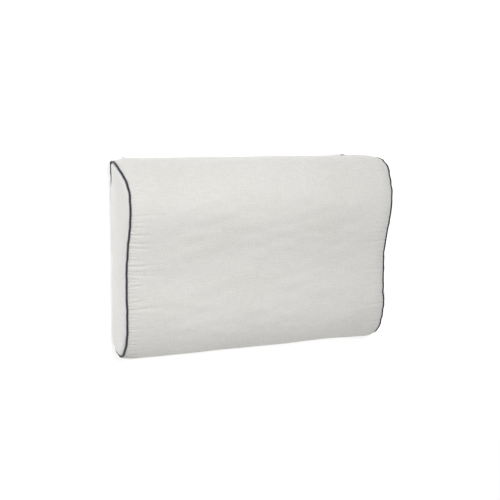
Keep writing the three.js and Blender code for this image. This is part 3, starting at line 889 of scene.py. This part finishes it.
def folds(run, moved):
    """The part of a move that is folds: the broad sag is taken off, along each column of the cloth."""
    out = np.zeros_like(moved)
    even = np.arange(0, OUTLINE.around, ROW_SAMPLE)
    for column in range(moved.shape[1]):
        level = np.interp(even, run[:, column], moved[:, column], period=OUTLINE.around)
        level = level - smoothed(level, FOLD_SMOOTHING, ROW_SAMPLE)
        out[:, column] = np.interp(run[:, column], even, level, period=OUTLINE.around)
    return out


SEWN_GAP = 0.3 * MM  # half the gap between the cover's edges where they are sewn
ZIP_ROOM = 0.9 * MM  # free on either side of the slider


def slit_edge(x):
    """Half the gap between the cover's two folded edges at x: the zip's opening, or the sewn seam."""
    tape_end = box_of("zip_tape_upper")[1][0] + 6 * MM
    opening = (ZIP_HIGH[2] - ZIP_LOW[2]) / 2 + ZIP_ROOM
    return SEWN_GAP + (opening - SEWN_GAP) * ease((tape_end - np.abs(x)) / (8 * MM))


def from_edge(run, x):
    """How far the cloth is from its nearer edge along the zip."""
    return np.minimum(run, OUTLINE.around - run) - slit_edge(x)


def off_zip(run, x):
    """From 0 beside the zip to 1 away from it, where the cloth is free to fold."""
    return ease((from_edge(run, x) - 10 * MM) / (22 * MM))


TUCK = 2.6 * MM  # how far, and how deep, the cover turns in at the seam
HEM = 9 * MM


def cover_surface(run, x, crease_share=1.0):
    """How far inside the outline the cover's outer face lies."""
    shape = bpy.context.scene.pillow_shape
    away = SEAM_X - np.abs(x)
    t = np.clip(away / shape.swell_run, 0, 1)
    inset = SEAM_INSET * (1 - t) ** shape.swell_power + TUCK * ease(1 - away / TUCK)
    left = creases(CREASES_LEFT, run, away, shape.gather_left)
    right = creases(CREASES_RIGHT, run, away, shape.gather_right)
    yz, _ = OUTLINE.points(run)
    lying = 1 - ease(1 - yz[..., 1] / (12 * MM))
    waves = 0.7 * wave_noise(21, run, x, 0.075, 0.22) + 0.3 * wave_noise(22, run, x, 0.034, 0.13)
    waves = shape.slack * waves * ease(away / (25 * MM)) * (0.25 + 0.75 * lying)
    height = np.where(x < 0, left, right) * crease_share + waves
    beside_zip = ease((ZIP_REACH - np.abs(x)) / (12 * MM)) * (1 - off_zip(run, x))
    height = height * (1 - beside_zip)
    hem = ease(1 - from_edge(run, x) / HEM)
    height = height + 0.5 * MM * ease(hem * 3) * ease(away / (8 * MM))
    return inset - height


def cover_place(shape, stations, rows, crease_share=1.0):
    """Gives where each cell corner of the cover lies, by its column and row."""

    def place(i, j):
        x = stations[i]
        edge = slit_edge(x)
        run = edge + rows[j] / OUTLINE.around * (OUTLINE.around - 2 * edge)
        inset = cover_surface(run, x, crease_share)
        dx, dn = near_seam(x, run, shape.wander)
        points = lay_out(x, run, inset - dn)
        points[:, 0] += dx
        return points, np.stack([x, run], 1)

    return place


def gathered(shape, stations, rows):
    """The folds that the gathering puts in the cover, as moves outwards by column and row."""
    moves = np.zeros((len(stations), len(rows)))
    place = cover_place(shape, stations, rows, CREASE_START)
    for side, share in ((-1, shape.gather_left), (1, shape.gather_right)):
        near = np.flatnonzero(side * stations > SEAM_X - GATHER_REACH)
        j, i = (g.ravel() for g in np.meshgrid(np.arange(len(rows)), near, indexing="ij"))
        points, cloth = place(i, j)
        x, run = cloth.T
        away = SEAM_X - np.abs(x)
        _, normal = OUTLINE.points(run)
        moved = settled(points, away, fullness(run, away) * min(1, share), len(near))
        outwards = (moved[:, 1:] * normal).sum(1).reshape(len(rows), len(near))
        level = folds(run.reshape(outwards.shape), outwards)
        fade = ease((GATHER_REACH - away) / (40 * MM)) * off_zip(run, x)
        fade = fade.reshape(outwards.shape)
        most = shape.fold_limit
        moves[near] += (most * np.tanh(shape.fold_share * level / most) * fade).T
    return moves


def build_cover(shape):
    """The wrapped panel: one open skin whose two edges meet along the rear face."""
    stations = cover_stations()
    rows = cover_rows()
    place = cover_place(shape, stations, rows)
    moves = gathered(shape, stations, rows)

    def place_gathered(i, j):
        points, cloth = place(i, j)
        _, normal = OUTLINE.points(cloth[:, 1])
        points[:, 1:] += normal * moves[i, j][:, None]
        points[:, 2] = np.maximum(points[:, 2], 0)
        return points, cloth

    mesh = grid_mesh("cover_body", len(stations) - 1, len(rows) - 1, place_gathered)
    point_outwards(mesh)
    piece = new_piece("cover_body", mesh, cover_knit, "cover_knit", "pillow", "cover_wrap")
    add_wall(piece, shape.cover_wall)


# ---- The other pieces ------------------------------------------------------------------------------


MIDDLE = np.array([0.0, 43 * MM])  # a place (Y, Z) well inside the outline
CORE_ROUNDING = 8 * MM
CORE_SIDE, CORE_END, CORE_AROUND = 40, 14, 260  # cells


def build_core():
    """The foam core: a closed form with rounded edges, inside the liner."""
    low, high = box_of("foam_core")
    inset = OUTLINE.point[:, 1].max() - high[2]
    across = CORE_SIDE + 2 * CORE_END

    def place(i, j):
        run = j / CORE_AROUND * OUTLINE.around
        flat = np.clip((i - CORE_END) / CORE_SIDE, 0, 1)
        x = low[0] + CORE_ROUNDING + flat * (high[0] - low[0] - 2 * CORE_ROUNDING)
        cap_low = np.clip(1 - i / CORE_END, 0, 1)
        cap_high = np.clip(1 - (across - i) / CORE_END, 0, 1)
        cap = np.maximum(cap_low, cap_high)
        turn = np.sin(np.clip(cap * 3, 0, 1) * math.pi / 2)
        pull = CORE_ROUNDING * (1 - np.sqrt(np.clip(1 - turn**2, 0, 1)))
        shrink = 1 - np.clip((cap * 3 - 1) / 2, 0, 1)
        yz, normal = OUTLINE.points(run)
        ring = yz - normal * (inset + pull)[:, None]
        ring = MIDDLE + (ring - MIDDLE) * shrink[:, None]
        end = np.where(cap_high > 0, 1, np.where(cap_low > 0, -1, 0))
        x = x + end * CORE_ROUNDING * turn
        return np.column_stack([x, ring]), np.stack([x, run], 1)

    mesh = grid_mesh("foam_block", across, CORE_AROUND, place, roll=True)
    piece = new_piece("foam_block", mesh, foam, "foam", "pillow", "foam_core")


PANEL_RIPPLE = 0.3 * MM
REAR_CALM = 0.8  # how much flatter an end panel is in its rear corner by the base
LIP_PLACE, LIP_WIDTH = 6.5 * MM, 3.0 * MM


def dome(
    name, side, edge_x, inset, bulge, wall, maker, slot, node, rings=26, around=420, lip=0.0, swell=0.3
):
    """An end panel: rings that shrink from the seam to the middle, doming outwards."""
    shape = bpy.context.scene.pillow_shape
    seam = SEAMS[side]

    def place(i, j):
        run = i / around * OUTLINE.around
        scale = 1 - (j / rings) ** 1.25
        yz, normal = OUTLINE.points(run)
        wx, wn = seam.wander(run, shape.wander)
        edge = yz - normal * (inset - wn)[:, None]
        ring = MIDDLE + (edge - MIDDLE) * scale[:, None]
        y, z = ring.T
        off_edge = np.linalg.norm(edge - ring, axis=1)
        roll_off = np.sqrt(1 - (1 - np.clip(off_edge / (15 * MM), 0, 1)) ** 2)
        ridge = lip * np.exp(-(((off_edge - LIP_PLACE) / LIP_WIDTH) ** 2))
        out = bulge * ((1 - swell) * (1 - scale**2) + swell * roll_off) + ridge
        rear_corner = ease((y - 118 * MM) / (45 * MM)) * ease((45 * MM - z) / (25 * MM))
        out = out * (1 - REAR_CALM * rear_corner)
        ripple = np.sin(y / (21 * MM) + side) * np.sin(z / (11 * MM) + y / (60 * MM))
        out = out + PANEL_RIPPLE * ripple * roll_off
        flare = seam.reach(run) - SEAM_X
        x = side * (edge_x + flare * scale**2 + out) + wx * np.exp(-off_edge / (8 * MM))
        return np.column_stack([x, ring]), ring.copy()

    mesh = grid_mesh(name, around, rings, place, roll=True)
    face_along(mesh, Vector((side, 0, 0)))
    piece = new_piece(name, mesh, maker, slot, "pillow", node)
    add_wall(piece, wall)
    return piece


def build_end_panels(shape):
    """The cover's two end panels."""
    for side, word in SIDES.items():
        piece = dome(
            word + "_end",
            side,
            SEAM_X - 0.4 * MM,
            SEAM_INSET + 2.0 * MM,
            shape.end_bulge,
            shape.cover_wall,
            end_knit,
            "end_knit",
            word + "_end_panel",
            lip=0.5 * MM,
            swell=0.75,
        )


LINER_WALL = 0.8 * MM
LINER_ALONG, LINER_AROUND = 80, 300  # cells


def build_liner(shape):
    """The liner: a wrapped panel and two ends, close on the foam."""
    high = box_of("liner_wrap")[1]
    inset = OUTLINE.point[:, 1].max() - high[2]
    wrap_x = SEAM_X - 8 * MM

    def place(i, j):
        x = -wrap_x + i / LINER_ALONG * 2 * wrap_x
        run = j / LINER_AROUND * OUTLINE.around
        away = np.clip(SEAM_X - np.abs(x), 0, shape.swell_run) / shape.swell_run
        depth = inset + SEAM_INSET * (1 - away) ** 2
        ripple = 0.15 * MM * wave_noise(41, run, x, 0.05, 0.08)
        return lay_out(x, run, depth - ripple), np.stack([x, run], 1)

    mesh = grid_mesh("liner_body", LINER_ALONG, LINER_AROUND, place, roll=True)
    point_outwards(mesh)
    wrap = new_piece("liner_body", mesh, liner_knit, "liner_knit", "pillow", "liner_wrap")
    add_wall(wrap, LINER_WALL)
    for side, word in SIDES.items():
        piece = dome(
            "liner_" + word,
            side,
            wrap_x + 0.5 * MM,
            inset + SEAM_INSET * 0.6,
            4 * MM,
            LINER_WALL,
            liner_knit,
            "liner_knit",
            "liner_" + word + "_end",
            rings=14,
            around=200,
        )


def swept(name, side, section, around, along, shape):
    """A closed section carried round a seam: section(t, run) gives its moves along X and outwards."""
    seam = SEAMS[side]

    def place(i, j):
        run = i / along * OUTLINE.around
        yz, normal = OUTLINE.points(run)
        wx, wn = seam.wander(run, shape.wander)
        along_x, outwards, cloth = section(j / around, run)
        yz = yz - normal * (SEAM_INSET - wn - outwards)[:, None]
        x = side * (seam.reach(run) + along_x) + wx
        return np.column_stack([x, yz]), np.stack([cloth, run], 1)

    return grid_mesh(name, along, around, place, roll=True)


FLANGE = 6.5 * MM
FLANGE_HALF = 0.55 * MM
STRAND, STRAND_TWIST = 1.1 * MM, 9 * MM


def build_piping(shape):
    """The piping of both seams, with its filler cord."""
    radius = shape.piping_radius

    def sleeve(t, run):
        """A round sleeve whose two edges run inwards as a flange, as one closed section."""
        angle = (t * 2 - 1) * math.pi
        turn = 2 * math.pi * run
        fat = radius * (1 + 0.05 * np.sin(turn / (19 * MM)) * np.sin(turn / (53 * MM)))
        tail = ease((np.abs(angle) - 0.86 * math.pi) / (0.14 * math.pi))
        half = np.sign(angle) * FLANGE_HALF * (1 - ease((tail - 0.9) * 10))
        x = fat * np.sin(angle) * (1 - tail) + half * tail
        out = fat * np.cos(angle) - tail * (FLANGE - radius)
        return x, out, t * 2 * math.pi * radius

    def strands(t, run):
        """Three strands twisted together."""
        angle = t * 2 * math.pi
        lobes = 1 + 0.16 * np.cos(3 * (angle - 2 * math.pi * run / STRAND_TWIST))
        r = STRAND * lobes
        return r * np.sin(angle), r * np.cos(angle), t * 2 * math.pi * 1.2 * MM

    for side, word in SIDES.items():
        name = word + "_piping"
        mesh = swept(name, side, sleeve, 24, 700, shape)
        new_piece(name, mesh, piping_cloth, "piping_cloth", "pillow", name + "_cover")
        mesh = swept(word + "_filler", side, strands, 12, 900, shape)
        new_piece(word + "_filler", mesh, filler_cord, "filler_cord", "pillow", name + "_cord")


# ---- Zip -------------------------------------------------------------------------------------------

COIL_PITCH = 1.3 * MM
COIL_WIRE = 0.34 * MM  # half its thickness
COIL_SEGMENTS = 8
TAPE_ALONG, TAPE_ACROSS = 244, 10  # cells
HALVES = {"upper": 1, "lower": -1}


def build_tapes():
    """The zip's two woven tapes."""
    for half in HALVES:
        low, high = box_of("zip_tape_" + half)

        def place(i, j, low=low, high=high):
            x = low[0] + i / TAPE_ALONG * (high[0] - low[0])
            z = low[2] + j / TAPE_ACROSS * (high[2] - low[2])
            wave = np.sin(x / (23 * MM)) * np.sin((z - low[2]) / (5 * MM))
            y = high[1] - 0.12 * MM + 0.1 * MM * wave
            return np.column_stack([x, y, z]), np.stack([x, z], 1)

        name = "zip_tape_" + half + "_woven"
        mesh = grid_mesh(name, TAPE_ALONG, TAPE_ACROSS, place)
        face_along(mesh, Vector((0, 1, 0)))
        piece = new_piece(name, mesh, zip_tape, "zip_tape", "pillow", "zip_tape_" + half)
        add_wall(piece, high[1] - low[1] - 0.2 * MM)


def coil_turn(low, high, sign):
    """One turn of a coil: a filament bent into a flat loop whose head reaches the other half."""
    wire = COIL_WIRE
    top, bottom = high[1] - wire, low[1] + wire
    middle = (low[1] + high[1]) / 2
    rise = (high[1] - low[1]) * 0.22
    heel = high[2] if sign > 0 else low[2]
    head = ZIP_LEVEL - sign * 0.55 * MM
    path = [
        (0.0, top, heel - sign * wire * 1.5),
        (0.0, top, head + sign * 0.7 * MM),
        (0.05 * MM, middle + rise, head + sign * 0.12 * MM),
        (0.12 * MM, middle - rise, head + sign * 0.12 * MM),
        (0.2 * MM, bottom, head + sign * 0.7 * MM),
        (COIL_PITCH * 0.5, bottom, heel - sign * wire * 1.5),
        (COIL_PITCH * 0.5, middle, heel - sign * wire * 0.9),
    ]
    bm = bmesh.new()
    rings = []
    for k, place in enumerate(path):
        along = Vector(path[(k + 1) % len(path)]) - Vector(path[k - 1])
        turn = Vector((0, 0, 1)).rotation_difference(along.normalized()).to_matrix()
        made = bmesh.ops.create_circle(
            bm,
            segments=COIL_SEGMENTS,
            radius=wire,
            matrix=Matrix.Translation(place) @ turn.to_4x4(),
        )
        rings.append(list({e for v in made["verts"] for e in v.link_edges}))
    for ring, following in zip(rings, rings[1:] + rings[:1]):
        bmesh.ops.bridge_loops(bm, edges=ring + following)
    bmesh.ops.recalc_face_normals(bm, faces=bm.faces)
    if bm.calc_volume(signed=True) < 0:
        bmesh.ops.reverse_faces(bm, faces=bm.faces)
    return bm


def build_coils():
    """The zip's two coils, each one turn repeated along it."""
    for half, sign in HALVES.items():
        low, high = box_of("zip_coil_" + half)
        bm = coil_turn(low, high, sign)
        start = low[0] + 0.4 * MM + (0 if sign > 0 else COIL_PITCH / 2)
        bmesh.ops.translate(bm, verts=bm.verts, vec=(start, 0, 0))
        name = "zip_coil_" + half + "_turns"
        mesh = mesh_from(bm, name)
        piece = new_piece(name, mesh, zip_coil, "zip_coil", "pillow", "zip_coil_" + half)
        repeat(piece, "Turns", COIL_PITCH, int((high[0] - low[0] - 1.6 * MM) / COIL_PITCH))


def bevelled_copy(node, name, body, width):
    """A CAD node's shape with its edges rounded, as a piece of its own."""
    bm = bmesh.new()
    bm.from_mesh(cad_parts[node].data)
    for layer in list(bm.loops.layers.uv):
        bm.loops.layers.uv.remove(layer)
    bmesh.ops.remove_doubles(bm, verts=bm.verts, dist=0.005 * MM)
    bmesh.ops.dissolve_limit(
        bm,
        angle_limit=math.radians(2),
        verts=bm.verts,
        edges=bm.edges,
        use_dissolve_boundaries=False,
    )
    sharp = [e for e in bm.edges if e.is_manifold and e.calc_face_angle(0) > math.radians(28)]
    bmesh.ops.bevel(
        bm,
        geom=sharp,
        offset=width,
        offset_type="OFFSET",
        affect="EDGES",
        segments=2,
        profile=0.5,
        material=-1,
        clamp_overlap=True,
    )
    mesh = mesh_from(bm, name)
    new_piece(name, mesh, zip_metal, "zip_metal", body, node)
    mesh.set_sharp_from_angle(angle=math.radians(40))


# ---- Stitching and label ---------------------------------------------------------------------------


STITCH, STITCH_PITCH, THREAD = 2.6 * MM, 3.1 * MM, 0.42 * MM


def stitch_mesh(name):
    """One low stitch along X, sunk at its ends."""
    bm = bmesh.new()
    bmesh.ops.create_cone(
        bm,
        cap_ends=True,
        segments=6,
        radius1=THREAD / 2,
        radius2=THREAD / 2,
        depth=STITCH,
        matrix=Matrix.Rotation(math.pi / 2, 4, "Y"),
    )
    ends = [e for e in bm.edges if abs(e.verts[0].co.x - e.verts[1].co.x) > STITCH / 2]
    bmesh.ops.subdivide_edges(bm, edges=ends, cuts=3, use_grid_fill=True)
    for v in bm.verts:
        t = 2 * v.co.x / STITCH
        v.co.y = v.co.y * (1 - 0.35 * t * t) - 0.45 * THREAD * t * t
        v.co.z *= 1 - 0.35 * t * t
    return mesh_from(bm, name)


def build_stitches():
    """A row of topstitching above the zip and one below it."""
    reach = box_of("zip_tape_upper")[1][0] + 1 * MM
    above = float(slit_edge(np.array([0.0]))[0]) + 2.4 * MM
    rear = OUTLINE.point[:, 0].max() + 0.5 * MM
    for half, sign in HALVES.items():
        name = "zip_stitches_" + half
        mesh = stitch_mesh(name)
        mesh.transform(Matrix.Translation((-reach, rear, ZIP_LEVEL + sign * above)))
        piece = new_piece(name, mesh, thread, "cover_knit", "pillow")
        repeat(piece, "Row", STITCH_PITCH, int(2 * reach / STITCH_PITCH) + 1)


RIBBON_WALL = 0.18 * MM
RIBBON_ACROSS, RIBBON_ALONG = 26, 60  # cells
RIBBON_TUCK = 1.2 * MM
TUCKED_SHARE = 0.12  # of the ribbon's drop, at its top


def build_label():
    """The care label: a satin ribbon folded in half, with both ends in the seam."""
    low, high = box_of("care_label")
    width, drop = high[0] - low[0], high[2] - low[2]
    rear = low[1]
    inside = rear - RIBBON_TUCK

    def place(i, j):
        across = i / RIBBON_ACROSS
        x = low[0] + across * width
        t = j / RIBBON_ALONG
        down = 1 - np.abs(2 * t - 1)
        curl = 0.5 * MM * ease(down) ** 2 * (1 + 0.4 * np.cos(math.pi * across))
        fold = 0.28 * MM + 0.3 * MM * np.sin(math.pi * down)
        half = np.sign(t - 0.5) * np.sqrt(np.clip(1 - down**12, 0, 1))
        y = rear + 0.45 * MM + curl + half * fold
        tucked = inside + (y - inside) * ease(down / TUCKED_SHARE)
        y = np.where(down < TUCKED_SHARE, tucked, y)
        return np.column_stack([x, y, high[2] - drop * down]), np.stack([x, t * 2 * drop], 1)

    mesh = grid_mesh("care_ribbon", RIBBON_ACROSS, RIBBON_ALONG, place)
    piece = new_piece("care_ribbon", mesh, label_satin, "label_satin", "pillow", "care_label")
    add_wall(piece, RIBBON_WALL)


# ---- Stage -----------------------------------------------------------------------------------------

CAMERA_PLACE = (-0.969, 0.2565, 1.991)
CAMERA_TURN = math.radians(26.22)
CAMERA_DIP = math.radians(6.64)
CAMERA_LENS = 75.2
FLOOR_HALF = 4.0
FLOOR_DROP = 0.3 * MM
FLOOR_GLOW = 0.50
SURROUND = 0.375
LIGHTS = (
    ("key_soft", (-0.26, 0.40, 1.35), 0.5, 10.2, (1, 0.997, 0.99)),
    ("left_soft", (-1.8, 0.1, 0.5), 0.9, 1.7, (1, 1, 1)),
)
LIT_PLACE = (0, 0, 0.05)


def aim(place, target):
    """A matrix that puts a light at a place, shining at a target."""
    away = (Vector(place) - Vector(target)).normalized()
    return Matrix.Translation(place) @ away.to_track_quat("Z", "Y").to_matrix().to_4x4()


def build_floor():
    """A wide sheet of glowing white paper just under the pillow."""
    scene = bpy.context.scene
    bm = bmesh.new()
    bmesh.ops.create_grid(bm, x_segments=8, y_segments=8, size=FLOOR_HALF)
    mesh = mesh_from(bm, "floor")
    mesh.transform(Matrix.Translation((0, 0, -FLOOR_DROP)))
    floor = bpy.data.objects.new("floor", mesh)
    scene.collection.objects.link(floor)
    n = Nodes("floor_paper", 0.9)
    base = tuple(scene.pillow_colours.floor)
    colour = n.ramp(n.object_noise(40.0, 3.0), (0.3, tone(base, 0.99)), (0.7, base))
    n.shader.inputs["Emission Color"].default_value = (1, 1, 1, 1)
    n.shader.inputs["Emission Strength"].default_value = FLOOR_GLOW
    mesh.materials.append(n.finish(colour))


def build_lights():
    """Soft white light from all round, from above and from the left."""
    scene = bpy.context.scene
    world = bpy.data.worlds.new("studio")
    scene.world = world
    world.use_nodes = True
    background = world.node_tree.nodes["Background"]
    background.inputs["Color"].default_value = (1, 1, 1, 1)
    background.inputs["Strength"].default_value = SURROUND
    for name, place, size, power, tint in LIGHTS:
        light = bpy.data.lights.new(name, "AREA")
        light.shape = "SQUARE"
        light.size = size
        light.energy = power
        light.color = tint
        lamp = bpy.data.objects.new(name, light)
        scene.collection.objects.link(lamp)
        lamp.matrix_world = aim(place, LIT_PLACE)


def build_camera():
    """The camera, over the pillow's front, with the rear face up in its view."""
    scene = bpy.context.scene
    turn, dip = CAMERA_TURN, CAMERA_DIP
    level = Vector((math.sin(turn), 0, -math.cos(turn)))
    right = Vector((math.cos(turn), 0, math.sin(turn)))
    upright = Vector((0, 1, 0))
    forward = level * math.cos(dip) - upright * math.sin(dip)
    top = upright * math.cos(dip) + level * math.sin(dip)
    data = bpy.data.cameras.new("camera")
    data.lens = CAMERA_LENS
    data.sensor_width = 36
    data.clip_start = 0.01
    camera = bpy.data.objects.new("camera", data)
    scene.collection.objects.link(camera)
    facing = Matrix((right, top, -forward)).transposed().to_4x4()
    camera.matrix_world = Matrix.Translation(CAMERA_PLACE) @ facing
    scene.camera = camera
    scene.view_settings.view_transform = "Standard"


# ---- Operators and panel ---------------------------------------------------------------------------


class PILLOW_OT_core(bpy.types.Operator):
    """Build the foam core."""

    bl_idname = "pillow.core"
    bl_label = "Foam core"

    def execute(self, context):
        build_core()
        return {"FINISHED"}


class PILLOW_OT_liner(bpy.types.Operator):
    """Build the jersey liner round the core."""

    bl_idname = "pillow.liner"
    bl_label = "Liner"

    def execute(self, context):
        build_liner(context.scene.pillow_shape)
        return {"FINISHED"}


class PILLOW_OT_cover(bpy.types.Operator):
    """Build the wrapped panel of the cover, with its gathers."""

    bl_idname = "pillow.cover"
    bl_label = "Cover"

    def execute(self, context):
        build_cover(context.scene.pillow_shape)
        return {"FINISHED"}


class PILLOW_OT_ends(bpy.types.Operator):
    """Build the two end panels of the cover."""

    bl_idname = "pillow.ends"
    bl_label = "End panels"

    def execute(self, context):
        build_end_panels(context.scene.pillow_shape)
        return {"FINISHED"}


class PILLOW_OT_piping(bpy.types.Operator):
    """Build the piping of both end seams, and the cords inside it."""

    bl_idname = "pillow.piping"
    bl_label = "Piping"

    def execute(self, context):
        build_piping(context.scene.pillow_shape)
        return {"FINISHED"}


class PILLOW_OT_zip(bpy.types.Operator):
    """Build the zip's tapes, coils and stops."""

    bl_idname = "pillow.zip_halves"
    bl_label = "Zip"

    def execute(self, context):
        build_tapes()
        build_coils()
        for node in ("zip_top_stop_upper", "zip_top_stop_lower", "zip_bottom_stop"):
            bevelled_copy(node, node + "_crimped", "pillow", 0.2 * MM)
        return {"FINISHED"}


class PILLOW_OT_slider(bpy.types.Operator):
    """Build the zip's slider and its pull."""

    bl_idname = "pillow.slider"
    bl_label = "Slider and pull"

    def execute(self, context):
        bevelled_copy("zip_slider", "slider_body", "slider", 0.22 * MM)
        bevelled_copy("zip_pull", "slider_pull", "pull", 0.25 * MM)
        return {"FINISHED"}


class PILLOW_OT_stitches(bpy.types.Operator):
    """Build the topstitching beside the zip."""

    bl_idname = "pillow.stitches"
    bl_label = "Stitching"

    def execute(self, context):
        build_stitches()
        return {"FINISHED"}


class PILLOW_OT_label(bpy.types.Operator):
    """Build the blank care label."""

    bl_idname = "pillow.label"
    bl_label = "Care label"

    def execute(self, context):
        build_label()
        return {"FINISHED"}


class PILLOW_OT_stage(bpy.types.Operator):
    """Set the floor, the lights and the camera."""

    bl_idname = "pillow.stage"
    bl_label = "Stage"

    def execute(self, context):
        build_floor()
        build_lights()
        build_camera()
        return {"FINISHED"}


OPERATORS = (
    PILLOW_OT_core,
    PILLOW_OT_liner,
    PILLOW_OT_cover,
    PILLOW_OT_ends,
    PILLOW_OT_piping,
    PILLOW_OT_zip,
    PILLOW_OT_slider,
    PILLOW_OT_stitches,
    PILLOW_OT_label,
    PILLOW_OT_stage,
)


class PILLOW_PT_panel(bpy.types.Panel):
    """Lists the pillow's sizes, colours and pieces."""

    bl_label = "Pillow"
    bl_space_type = "VIEW_3D"
    bl_region_type = "UI"
    bl_category = "Pillow"

    def draw(self, context):
        for group in (context.scene.pillow_shape, context.scene.pillow_colours):
            for name in group.bl_rna.properties.keys():
                if name not in {"rna_type", "name"}:
                    self.layout.prop(group, name)
        for operator in OPERATORS:
            self.layout.operator(operator.bl_idname)


CLASSES = (PillowShape, PillowColours, *OPERATORS, PILLOW_PT_panel)


def register():
    for cls in CLASSES:
        bpy.utils.register_class(cls)
    bpy.types.Scene.pillow_shape = bpy.props.PointerProperty(type=PillowShape)
    bpy.types.Scene.pillow_colours = bpy.props.PointerProperty(type=PillowColours)


def unregister():
    del bpy.types.Scene.pillow_colours
    del bpy.types.Scene.pillow_shape
    for cls in reversed(CLASSES):
        bpy.utils.unregister_class(cls)


def main():
    register()
    for operator in OPERATORS:
        group, name = operator.bl_idname.split(".")
        getattr(getattr(bpy.ops, group), name)()


if __name__ == "__main__":
    main()
